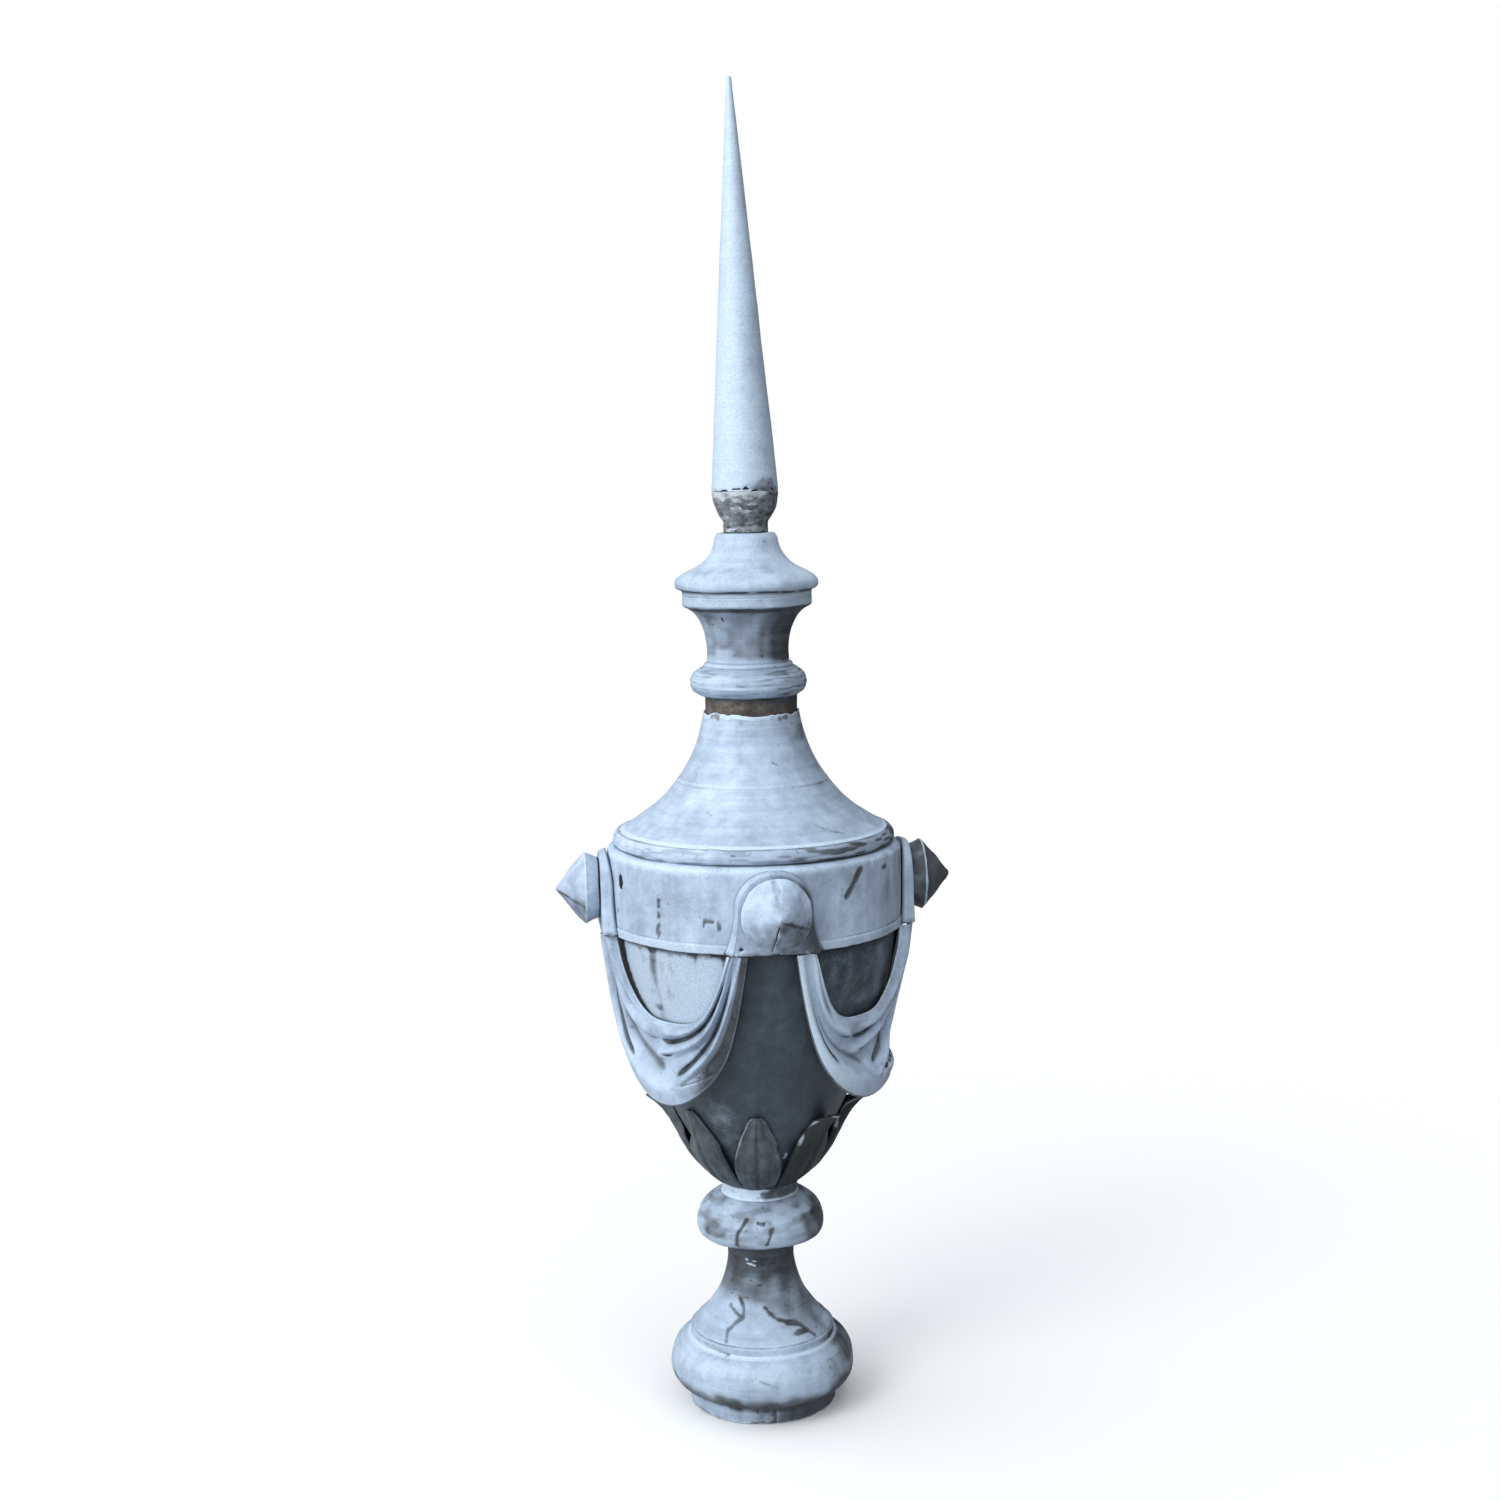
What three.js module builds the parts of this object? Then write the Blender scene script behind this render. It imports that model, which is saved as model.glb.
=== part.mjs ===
// A sheet-zinc roof finial: a draped urn on a turned foot, with a bell lid and a long leaning spire.
// Millimetres, +Z up. The axis stands on X = Y = 0, the underside lies at Z = 0, a boss faces -Y.
import * as THREE from 'three';

// Heights of the seams and of the widest or narrowest places, from the ground up
const level = {
  collarTop: 29,
  footWidest: 58,
  footTop: 104,
  stepBase: 106,
  stepTop: 118,
  stemShoulder: 128,
  stemStraight: 230,
  knopLip: 268,
  knopWidest: 283,
  knopTop: 332,
  cupBase: 352,
  bowlWaist: 497,
  drumBase: 755,
  lapTop: 768,
  drumShoulder: 870,
  drumTop: 880,
  beadTop: 902,
  lidTop: 1079,
  sleeveTop: 1103,
  torusWidest: 1123,
  torusTop: 1147,
  throat: 1167,
  collarBase: 1236,
  neckTop: 1252,
  capWidest: 1266,
  capSlope: 1297,
  capLip: 1332,
  capTop: 1344,
  pinTop: 1360,
  knobTop: 1405,
  tip: 2000,
};

// Radii at those places
const radius = {
  collar: 113,
  foot: 142,
  footTop: 115,
  step: 111,
  stemFoot: 108,
  stemShoulder: 101,
  stem: 51,
  knop: 98.5,
  knopLip: 89,
  knopTop: 61,
  neckRing: 58,
  cup: 56,
  bowlWaist: 142,
  bowlTop: 212,
  drum: 222,
  lap: 223.4,
  drumTop: 210,
  beadBase: 207,
  beadTop: 205,
  lidRim: 202,
  lidTop: 72,
  sleeve: 69,
  torusBase: 73,
  torus: 87,
  torusTop: 66,
  throat: 61,
  throatTop: 94,
  neckCollar: 96.5,
  capBase: 99,
  cap: 107,
  capSlope: 71,
  capLip: 48,
  capTop: 43,
  pin: 33.5,
  knob: 49.5,
  tip: 4,
};

// Handles of the curved stretches of the outlines: radius and height of each
const bend = {
  footUnder: [134, 30, 142, 42],
  footOver: [142, 82, 131, 99],
  stem: [84, 142, 55, 178],
  knopUnder: [97, 269],
  knop: [98.5, 306, 84, 322],
  bowlUnder: [76, 368, 112, 436],
  bowlOver: [166, 545, 210, 660],
  drumShoulder: [222, 878],
  bead: [215, 884, 213, 897],
  lid: [134, 936, 80, 1003],
  torusUnder: [87, 1110],
  torusOver: [87, 1138],
  throatUnder: [62, 1155, 61, 1160],
  throatOver: [61, 1196, 70, 1226],
  capUnder: [107, 1257],
  capShoulder: [107, 1282, 84, 1287],
  capThroat: [57, 1306, 51, 1318],
  knob: [38, 1367, 49.5, 1380],
};

const leanBearing = 173;           // degrees round from +X, the side that the upper pieces have settled to
const spireLean = 1.25;            // degrees that the cone leans to that side
const upperShift = 3.5;            // how far the neck and all above it sit to that side
const turnedSides = 28;
const bossSides = 16;
const seamGap = 0.3;

// A boss: distances along its axis are counted from the finial's axis
const boss = {
  count: 4,
  height: 820,
  back: 236,
  neck: 42,
  rimBack: 255,
  rim: 50.5,
  rimFront: 257,
  apex: 300,
  point: 2,
};

// The arched plate behind a boss: arch and foot are its outer line, face and faceFoot that of its flat front
const plate = {
  arch: 57,
  face: 52.5,
  foot: 72,
  faceFoot: 61,
  base: 757,
  topTrim: 1,
  crown: 0.4,
  edge: 1.5,
  clearance: 1,
  rows: 7,
};

// A water leaf: foot, waist, flare and tip are points and handles of its outer line, as radius and height
const leaf = {
  count: 8,
  turn: -8,
  pressed: [0, 7],
  foot: [64, 354, 90, 366, 111, 395],
  waist: [124, 424],
  flare: [134, 442, 142, 463],
  tip: [172, 485],
  pressedFlare: [132, 446, 137, 468],
  pressedTip: [145, 490],
  footHalf: 23,
  swell: 10,
  swellRate: 1.15,
  tipShare: 0.99,
  tipPower: 5,
  thick: 4,
  edge: 2.5,
  lift: 1.2,
  groove: 3.5,
  grooveHalf: 0.45,
  edgeDrop: 9,
  clearance: 2.4,
  along: 6,
  across: 6,
};

// A swag: reaches are degrees to each side of its middle, windows and shares run along or down the sheet
const swag = {
  count: 4,
  turn: -1.2,
  upperMiddle: 641,
  lowerMiddle: 523,
  upperReach: 28.7,
  lowerReach: 36.4,
  upperPower: 3.6,
  lowerPower: 2,
  hangPower: 7,
  hangShare: 0.48,
  outerAtHem: 221,
  outerAtJoint: 240,
  fullFrom: 0.85,
  rightTuck: 19,
  tuckStart: [0.22, 0.42],
  tuckEnd: [0.5, 0.82],
  fall: 3,
  fallEnd: [0.55, 0.95],
  bandStep: 9,
  bandShare: 0.1,
  hem: 16,
  hemLift: 5,
  hemNarrow: 0.985,
  clearance: 3,
  along: 18,
  across: 9,
};

// Folds of a swag: where each starts at its joint and where it lies at mid-swag, both as a share of the
// way from the upper edge to the hem, how far along it runs, how high it stands and how wide it is.
const folds = [
  { from: 'left', start: 0.5, middle: 0.24, run: 0.47, height: 7, width: 0.14 },
  { from: 'left', start: 0.86, middle: 0.84, run: 0.86, height: 7, width: 0.3 },
  { from: 'right', start: 0.18, middle: 0.12, run: 0.8, height: 6, width: 0.13 },
  { from: 'right', start: 0.46, middle: 0.42, run: 0.62, height: 8, width: 0.13 },
  { from: 'right', start: 0.76, middle: 0.7, run: 0.55, height: 8, width: 0.14 },
];
const foldFade = 0.18;             // share of the way over which a fold dies out at its end

const finishes = {
  paleZinc: { color: 0xa9b4c0, roughness: 0.55, metalness: 0.55 },
  darkZinc: { color: 0x4a525c, roughness: 0.6, metalness: 0.5 },
  leafZinc: { color: 0x4b5254, roughness: 0.62, metalness: 0.45 },
  bareSleeve: { color: 0x6e5b4d, roughness: 0.8, metalness: 0.2 },
  knobZinc: { color: 0x85878a, roughness: 0.68, metalness: 0.4 },
};

const { clamp, degToRad, lerp, smoothstep } = THREE.MathUtils;
const leanAngle = degToRad(spireLean);
const coneLift = seamGap + radius.knob * Math.sin(leanAngle);
const finial = new THREE.Group();

function place(name, geometry, finish, parent = finial) {
  const mesh = new THREE.Mesh(geometry, new THREE.MeshStandardMaterial(finishes[finish]));
  mesh.name = name;
  parent.add(mesh);
  return mesh;
}

// A solid of revolution whose outline runs from the axis at the bottom to the axis at the top
function turned(drawOutline, curveSteps = 4, sides = turnedSides) {
  const outline = new THREE.Path();
  drawOutline(outline);
  const geometry = new THREE.LatheGeometry(outline.getPoints(curveSteps), sides);
  return geometry.rotateX(Math.PI / 2);
}

function straightRing(radiusOfRing, bottom, top) {
  return turned((outline) => {
    outline.moveTo(0, bottom);
    outline.lineTo(radiusOfRing, bottom);
    outline.lineTo(radiusOfRing, top);
    outline.lineTo(0, top);
  });
}

// A closed skin over rings of equal length; the first and last ring are closed by level faces
function lofted(rings) {
  const count = rings[0].length;
  const faces = [];
  for (let ring = 0; ring + 1 < rings.length; ring++) {
    for (let side = 0; side < count; side++) {
      const next = (side + 1) % count;
      const a = ring * count + side;
      const b = ring * count + next;
      faces.push([a, b, b + count], [a, b + count, a + count]);
    }
  }
  const last = rings.length - 1;
  for (const ring of [0, last]) {
    const level2d = rings[ring].map((corner) => new THREE.Vector2(corner.x, corner.y));
    for (const triangle of THREE.ShapeUtils.triangulateShape(level2d, [])) {
      const ordered = triangle.map((corner) => ring * count + corner).sort((a, b) => a - b);
      faces.push(ring === last ? ordered : ordered.reverse());
    }
  }
  const geometry = new THREE.BufferGeometry().setFromPoints(rings.flat());
  geometry.setIndex(faces.flat());
  geometry.computeVertexNormals();
  return geometry;
}

// A point at a bearing from the front (-Y), counted towards +X, at a radius and a height
function around(bearing, reach, height) {
  const angle = degToRad(bearing);
  return new THREE.Vector3(reach * Math.sin(angle), -reach * Math.cos(angle), height);
}

// Foot, stem and knop
function drawFoot(outline) {
  outline.moveTo(0, level.collarTop);
  outline.lineTo(radius.collar, level.collarTop);
  outline.bezierCurveTo(...bend.footUnder, radius.foot, level.footWidest);
  outline.bezierCurveTo(...bend.footOver, radius.footTop, level.footTop);
  outline.lineTo(radius.step, level.stepBase);
  outline.lineTo(radius.step, level.stepTop);
  outline.lineTo(0, level.stepTop);
}

function drawStem(outline) {
  outline.moveTo(0, level.stepTop);
  outline.lineTo(radius.stemFoot, level.stepTop);
  outline.lineTo(radius.stemShoulder, level.stemShoulder);
  outline.bezierCurveTo(...bend.stem, radius.stem, level.stemStraight);
  outline.lineTo(radius.stem, level.knopLip);
  outline.lineTo(0, level.knopLip);
}

function drawKnop(outline) {
  outline.moveTo(0, level.knopLip);
  outline.lineTo(radius.knopLip, level.knopLip);
  outline.quadraticCurveTo(...bend.knopUnder, radius.knop, level.knopWidest);
  outline.bezierCurveTo(...bend.knop, radius.knopTop, level.knopTop);
  outline.lineTo(0, level.knopTop);
}

// Urn: bowl, drum, bead and lid
function drawBowl(outline) {
  outline.moveTo(0, level.cupBase);
  outline.lineTo(radius.cup, level.cupBase);
  outline.bezierCurveTo(...bend.bowlUnder, radius.bowlWaist, level.bowlWaist);
  outline.bezierCurveTo(...bend.bowlOver, radius.bowlTop, level.drumBase);
  outline.lineTo(0, level.drumBase);
}

function drawDrum(outline) {
  outline.moveTo(0, level.drumBase);
  outline.lineTo(radius.lap, level.drumBase);
  outline.lineTo(radius.lap, level.lapTop);
  outline.lineTo(radius.drum, level.lapTop);
  outline.lineTo(radius.drum, level.drumShoulder);
  outline.quadraticCurveTo(...bend.drumShoulder, radius.drumTop, level.drumTop);
  outline.lineTo(0, level.drumTop);
}

function drawBead(outline) {
  outline.moveTo(0, level.drumTop);
  outline.lineTo(radius.beadBase, level.drumTop);
  outline.bezierCurveTo(...bend.bead, radius.beadTop, level.beadTop);
  outline.lineTo(0, level.beadTop);
}

function drawLid(outline) {
  outline.moveTo(0, level.beadTop);
  outline.lineTo(radius.lidRim, level.beadTop);
  outline.bezierCurveTo(...bend.lid, radius.lidTop, level.lidTop);
  outline.lineTo(0, level.lidTop);
}

// Neck, cap, knob and spire
function drawNeck(outline) {
  outline.moveTo(0, level.sleeveTop);
  outline.lineTo(radius.torusBase, level.sleeveTop);
  outline.quadraticCurveTo(...bend.torusUnder, radius.torus, level.torusWidest);
  outline.quadraticCurveTo(...bend.torusOver, radius.torusTop, level.torusTop);
  outline.bezierCurveTo(...bend.throatUnder, radius.throat, level.throat);
  outline.bezierCurveTo(...bend.throatOver, radius.throatTop, level.collarBase);
  outline.lineTo(radius.neckCollar, level.collarBase);
  outline.lineTo(radius.neckCollar, level.neckTop);
  outline.lineTo(0, level.neckTop);
}

function drawCap(outline) {
  outline.moveTo(0, level.neckTop);
  outline.lineTo(radius.capBase, level.neckTop);
  outline.quadraticCurveTo(...bend.capUnder, radius.cap, level.capWidest);
  outline.bezierCurveTo(...bend.capShoulder, radius.capSlope, level.capSlope);
  outline.bezierCurveTo(...bend.capThroat, radius.capLip, level.capLip);
  outline.lineTo(radius.capTop, level.capTop);
  outline.lineTo(0, level.capTop);
}

function drawKnob(outline) {
  outline.moveTo(0, level.capTop);
  outline.lineTo(radius.pin, level.capTop);
  outline.lineTo(radius.pin, level.pinTop);
  outline.bezierCurveTo(...bend.knob, radius.knob, level.knobTop);
  outline.lineTo(0, level.knobTop);
}

function drawCone(outline) {
  const rise = level.tip - level.knobTop - coneLift;
  outline.moveTo(0, 0);
  outline.lineTo(radius.knob, 0);
  outline.lineTo(radius.tip, rise - radius.tip);
  outline.quadraticCurveTo(radius.tip, rise, 0, rise);
}

place('base_collar', straightRing(radius.collar, 0, level.collarTop), 'paleZinc');
place('foot_torus', turned(drawFoot, 3), 'paleZinc');
place('stem', turned(drawStem, 5), 'paleZinc');
place('knop', turned(drawKnop, 4), 'paleZinc');
place('neck_ring', straightRing(radius.neckRing, level.knopTop, level.cupBase), 'paleZinc');
place('urn_bowl', turned(drawBowl, 4), 'darkZinc');
place('urn_drum', turned(drawDrum, 2), 'paleZinc');
place('rim_bead', turned(drawBead), 'paleZinc');
place('urn_lid', turned(drawLid, 7), 'paleZinc');
place('neck_sleeve', straightRing(radius.sleeve, level.lidTop, level.sleeveTop), 'bareSleeve');

const leanSide = new THREE.Vector3(Math.cos(degToRad(leanBearing)), Math.sin(degToRad(leanBearing)), 0);
const upperPieces = new THREE.Group();
upperPieces.position.copy(leanSide).multiplyScalar(upperShift);
finial.add(upperPieces);
place('neck_moulding', turned(drawNeck, 3), 'paleZinc', upperPieces);
place('cap', turned(drawCap, 3), 'paleZinc', upperPieces);
place('spire_knob', turned(drawKnob, 5), 'knobZinc', upperPieces);

// The cone leans on the knob's flat top, raised so that its low edge just clears the knob
const coneFoot = new THREE.Group();
const leanAxis = new THREE.Vector3(0, 0, 1).cross(leanSide);
coneFoot.position.z = level.knobTop + coneLift;
coneFoot.quaternion.setFromAxisAngle(leanAxis, leanAngle);
upperPieces.add(coneFoot);
place('spire_cone', turned(drawCone, 2), 'paleZinc', coneFoot);

// A pointed boss: its back widens from the plate to a thin rim, and a low cone stands in front
function drawBoss(outline) {
  outline.moveTo(0, boss.back + seamGap);
  outline.lineTo(boss.neck, boss.back + seamGap);
  outline.lineTo(boss.rim, boss.rimBack);
  outline.lineTo(boss.rim, boss.rimFront);
  outline.lineTo(boss.point, boss.apex);
  outline.lineTo(0, boss.apex);
}

// Half the width of the plate at a height above the boss's axis: an arch, and a spreading skirt below it
function plateHalf(above, arch, foot) {
  const below = above / (plate.base - boss.height);
  return above > 0 ? Math.sqrt(Math.max(arch ** 2 - above ** 2, 0)) : lerp(arch, foot, below ** 2);
}

// An arched plate on the drum with a flat front and sloping sides, in the plane of X across and Z up,
// with the boss pointing along -Y
function archedPlate() {
  const rings = [];
  const bottom = plate.base - boss.height;
  const top = plate.arch - plate.topTrim;
  for (let row = 0; row <= plate.rows; row++) {
    const above = lerp(bottom, top, Math.sin((row / plate.rows) * Math.PI / 2));
    const outer = plateHalf(above, plate.arch, plate.foot);
    const inner = Math.max(plateHalf(above, plate.face, plate.faceFoot), plate.crown * outer);
    const rise = clamp((plate.arch - above) / (plate.arch - plate.face), 0, 1);
    const front = [];
    const back = [];
    for (const across of [-outer, -inner, -inner / 2, 0, inner / 2, inner, outer]) {
      const seat = Math.sqrt((radius.lap + plate.clearance) ** 2 - across ** 2);
      const lift = Math.abs(across) < outer ? rise : 0;
      const height = boss.height + above;
      front.push(new THREE.Vector3(across, -lerp(seat + plate.edge, boss.back, lift), height));
      back.unshift(new THREE.Vector3(across, -seat, height));
    }
    rings.push([...front, ...back]);
  }
  return lofted(rings);
}

for (let index = 0; index < boss.count; index++) {
  const turn = new THREE.Group();
  turn.rotation.z = (index * 2 * Math.PI) / boss.count;
  finial.add(turn);
  place(`boss_plate_${index + 1}`, archedPlate(), 'paleZinc', turn);
  const bossMesh = place(`boss_${index + 1}`, turned(drawBoss, 1, bossSides), 'paleZinc', turn);
  bossMesh.rotation.x = Math.PI / 2;
  bossMesh.position.z = boss.height;
}

// The bowl's outline, read back as a radius at a height
const bowlOutline = new THREE.Path();
drawBowl(bowlOutline);
const bowlPoints = bowlOutline.getPoints(24).slice(1, -1);
function bowlRadius(height) {
  const upper = bowlPoints.findIndex((point) => point.y >= height);
  const index = clamp(upper, 1, bowlPoints.length - 1);
  const [low, high] = [bowlPoints[index - 1], bowlPoints[index]];
  return lerp(low.x, high.x, clamp((height - low.y) / (high.y - low.y), 0, 1));
}

// The outer line of a leaf, from the foot of the cup to its tip; a pressed leaf lies close to the bowl
function leafLine(pressed) {
  const line = new THREE.Path();
  line.moveTo(leaf.foot[0], leaf.foot[1]);
  line.bezierCurveTo(...leaf.foot.slice(2), ...leaf.waist);
  const flare = pressed ? leaf.pressedFlare : leaf.flare;
  const tip = pressed ? leaf.pressedTip : leaf.tip;
  line.bezierCurveTo(...flare, ...tip);
  return line;
}

function leafHalfWidth(share) {
  const swell = leaf.footHalf + leaf.swell * Math.sin(Math.PI * Math.min(share * leaf.swellRate, 1));
  return swell * Math.sqrt(1 - (share * leaf.tipShare) ** leaf.tipPower);
}

function waterLeaf(pressed) {
  const rings = [];
  const outerLine = leafLine(pressed);
  for (let row = 0; row <= leaf.along; row++) {
    const share = Math.sin((row / leaf.along) * Math.PI / 2);
    const line = outerLine.getPoint(share);
    const spread = (leafHalfWidth(share) / line.x) * THREE.MathUtils.RAD2DEG;
    const edgeDrop = leaf.edgeDrop * (1 - share ** 3);
    const front = [];
    const back = [];
    for (let column = 0; column <= leaf.across; column++) {
      const side = (2 * column) / leaf.across - 1;
      const groove = leaf.groove * Math.max(0, 1 - Math.abs(side) / leaf.grooveHalf) * (1 - share ** 2);
      const onBowl = bowlRadius(line.y + leaf.lift) + leaf.clearance;
      const reach = Math.max(line.x - edgeDrop * Math.abs(side) ** 3 - groove, onBowl + leaf.edge);
      front.push(around(side * spread, reach, line.y));
      if (column % 3 === 0) {
        back.unshift(around(side * spread, Math.max(reach - leaf.thick, onBowl), line.y + leaf.lift));
      }
    }
    rings.push([...front, ...back]);
  }
  return lofted(rings);
}

for (let index = 0; index < leaf.count; index++) {
  const leafMesh = place(`leaf_${index + 1}`, waterLeaf(leaf.pressed.includes(index)), 'leafZinc');
  leafMesh.rotation.z = degToRad(leaf.turn) + (index * 2 * Math.PI) / leaf.count;
}

// How far the folds stand out at a place on a swag; along runs from -1 at the left joint to 1 at the right
function foldHeight(along, down) {
  let height = 0;
  for (const fold of folds) {
    const way = fold.from === 'left' ? (1 + along) / 2 : (1 - along) / 2;
    const line = lerp(fold.start, fold.middle, smoothstep(way, 0, 0.5));
    const fade = 1 - smoothstep(way, fold.run - foldFade, fold.run);
    const off = clamp((down - line) / fold.width, -1, 1);
    height += fold.height * fade * (1 + Math.cos(Math.PI * off)) / 2;
  }
  return height;
}

// A swag hangs in a deep U from two joints under the plates, its upper edge on the bowl, its hem clear of it
function drapedSwag() {
  const rings = [];
  const top = level.drumBase - seamGap;
  for (let step = 0; step <= swag.along; step++) {
    const along = (2 * step) / swag.along - 1;
    const sweep = Math.sin((along * Math.PI) / 2);
    const depth = Math.abs(sweep);
    const hang = lerp(depth ** swag.lowerPower, depth ** swag.hangPower, swag.hangShare);
    const upperHeight = lerp(swag.upperMiddle, top, depth ** swag.upperPower);
    const lowerHeight = lerp(swag.lowerMiddle, top, hang);
    const tuckEnd = 1 - smoothstep(along, ...swag.tuckEnd);
    const tuck = swag.rightTuck * smoothstep(along, ...swag.tuckStart) * tuckEnd;
    const fall = swag.fall * (1 - smoothstep(Math.abs(along), ...swag.fallEnd));
    const front = [];
    for (let row = 0; row <= swag.across; row++) {
      const down = row / swag.across;
      const height = lerp(upperHeight, lowerHeight, down);
      const bearing = lerp(swag.upperReach, swag.lowerReach, down) * sweep;
      const rise = (height - swag.lowerMiddle) / (top - swag.lowerMiddle);
      const outer = lerp(swag.outerAtHem, swag.outerAtJoint, rise);
      const inner = bowlRadius(height) + swag.clearance + swag.bandStep * smoothstep(down, 0, swag.bandShare);
      const ground = lerp(inner, outer - fall - tuck * down, smoothstep(down, 0, swag.fullFrom));
      const crown = down > 0 ? foldHeight(along, down) : 0;
      front.push(around(bearing, Math.min(ground + crown, outer), height));
    }
    const hemBearing = swag.lowerReach * sweep;
    const hem = front[swag.across];
    const hemReach = Math.hypot(hem.x, hem.y) - swag.hem;
    const midBearing = lerp(swag.upperReach, swag.lowerReach, 0.5) * sweep;
    const midHeight = lerp(upperHeight, lowerHeight, 0.5);
    const hemBack = Math.max(hemReach, bowlRadius(hem.z) + swag.clearance);
    rings.push([
      ...front,
      around(hemBearing * swag.hemNarrow, hemBack, hem.z + swag.hemLift * (1 - depth)),
      around(midBearing, bowlRadius(midHeight) + swag.clearance, midHeight),
    ]);
  }
  return lofted(rings);
}

for (let index = 0; index < swag.count; index++) {
  const swagMesh = place(`swag_${index + 1}`, drapedSwag(), 'paleZinc');
  swagMesh.rotation.z = degToRad(swag.turn) + ((index + 0.5) * 2 * Math.PI) / swag.count;
}

export default finial;
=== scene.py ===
import math
from types import SimpleNamespace

import bpy
import numpy as np
from mathutils import Matrix, Vector


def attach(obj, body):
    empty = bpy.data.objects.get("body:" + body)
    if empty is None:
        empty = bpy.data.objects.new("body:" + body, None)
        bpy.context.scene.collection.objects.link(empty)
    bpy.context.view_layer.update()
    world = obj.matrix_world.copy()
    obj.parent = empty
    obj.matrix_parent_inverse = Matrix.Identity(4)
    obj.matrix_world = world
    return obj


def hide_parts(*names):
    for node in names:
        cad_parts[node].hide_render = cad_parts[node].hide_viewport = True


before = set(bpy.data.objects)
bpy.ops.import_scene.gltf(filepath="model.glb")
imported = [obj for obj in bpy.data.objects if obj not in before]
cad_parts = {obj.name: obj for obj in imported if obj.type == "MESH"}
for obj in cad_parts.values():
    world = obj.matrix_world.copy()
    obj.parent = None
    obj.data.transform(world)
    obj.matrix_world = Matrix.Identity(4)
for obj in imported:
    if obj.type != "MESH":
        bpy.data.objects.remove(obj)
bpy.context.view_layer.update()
scene = bpy.context.scene
mm = 0.001                                  # every size below is in millimetres, the scene is in metres
print("frame loaded:", len(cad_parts), "nodes")


# Small helpers for shaping: soft steps, blends and lumpy noise
def ease(value, low, high):
    share = np.clip((value - low) / (high - low), 0.0, 1.0)
    return share * share * (3.0 - 2.0 * share)


def mix(first, second, share):
    return first + (second - first) * share


def bell(value, width):                     # 1 at zero, fading out over the width
    return np.exp(-(value / width) ** 2)


def awayFrom(bearing, middle):              # degrees from the middle, the short way round
    return (bearing - middle + 180.0) % 360.0 - 180.0


def cloud(points, size, seed=0):            # smooth noise from -1 to 1, in lumps of about the given size
    spot = np.asarray(points, float) / size + 31.7 * seed
    cell = np.floor(spot).astype(np.int64)
    part = spot - cell
    part = part * part * (3.0 - 2.0 * part)
    total = np.zeros(spot.shape[:-1])
    for corner in range(8):
        step = np.array([corner & 1, corner >> 1 & 1, corner >> 2 & 1])
        key = cell + step
        number = key[..., 0] * 73856093 ^ key[..., 1] * 19349663 ^ key[..., 2] * 83492791
        number = (number ^ number >> 13) * 1274126177 & 0x7fffffff
        weight = np.prod(np.where(step == 1, part, 1.0 - part), axis=-1)
        total += weight * ((number >> 7 & 0xffff) / 32767.5 - 1.0)
    return total


def bend(start, *handles):                  # points of a curve after its start, up to its last handle
    knots = np.array([start, *handles], float)[:, None, :]
    share = np.linspace(0.0, 1.0, 33)[1:, None]
    while len(knots) > 1:
        knots = mix(knots[:-1], knots[1:], share)
    return [tuple(point) for point in knots[0]]


def throughPoints(value, points):           # a smooth line through a few given points
    known = np.array(points, float)
    x, y = known[:, 0], known[:, 1]
    slope = np.gradient(y, x)
    index = np.clip(np.searchsorted(x, value) - 1, 0, len(x) - 2)
    span = x[index + 1] - x[index]
    t = np.clip((value - x[index]) / span, 0.0, 1.0)
    low = (1 + 2 * t) * (1 - t) ** 2 * y[index] + t * (1 - t) ** 2 * span * slope[index]
    return low + t * t * (3 - 2 * t) * y[index + 1] + t * t * (t - 1) * span * slope[index + 1]


def around(bearing, reach, height):         # bearing counts from the front boss (-Y) towards +X
    angle = np.radians(bearing)
    return np.stack([reach * np.sin(angle), -reach * np.cos(angle), height + 0.0 * angle], axis=-1)


# Building and finishing a piece
def meshPiece(name, points, faces, marks):
    mesh = bpy.data.meshes.new(name)
    mesh.from_pydata((np.asarray(points) * mm).tolist(), [], faces)
    mesh.shade_smooth()
    for mark, values in marks.items():
        layer = mesh.attributes.new(mark, "FLOAT", "POINT")
        layer.data.foreach_set("value", np.ascontiguousarray(np.clip(values, 0, 1), dtype=np.float32))
    piece = bpy.data.objects.new(name, mesh)
    scene.collection.objects.link(piece)
    return piece


def finishPiece(piece, node, material):
    piece.data.materials.append(material)
    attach(piece, "root")
    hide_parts(node)


def gridFaces(rows, columns):               # each row of points closes on itself
    faces = []
    for row in range(rows - 1):
        base = row * columns
        for column in range(columns):
            after = (column + 1) % columns
            faces.append((base + column, base + after, base + columns + after, base + columns + column))
    return faces


# A sheet: each ring is a line of its front and the same line of its back, and both ends are closed
def shellPiece(name, rings, turn, marks):
    rows, columns = rings.shape[:2]
    faces = gridFaces(rows, columns)
    for base, flip in ((0, True), ((rows - 1) * columns, False)):
        for column in range(columns // 2 - 1):
            facing = base + columns - 1 - column
            quad = (base + column, base + column + 1, facing - 1, facing)
            faces.append(quad[::-1] if flip else quad)
    turned = np.array(Matrix.Rotation(math.radians(turn), 3, "Z"))
    return meshPiece(name, rings.reshape(-1, 3) @ turned.T, faces, marks)


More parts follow.
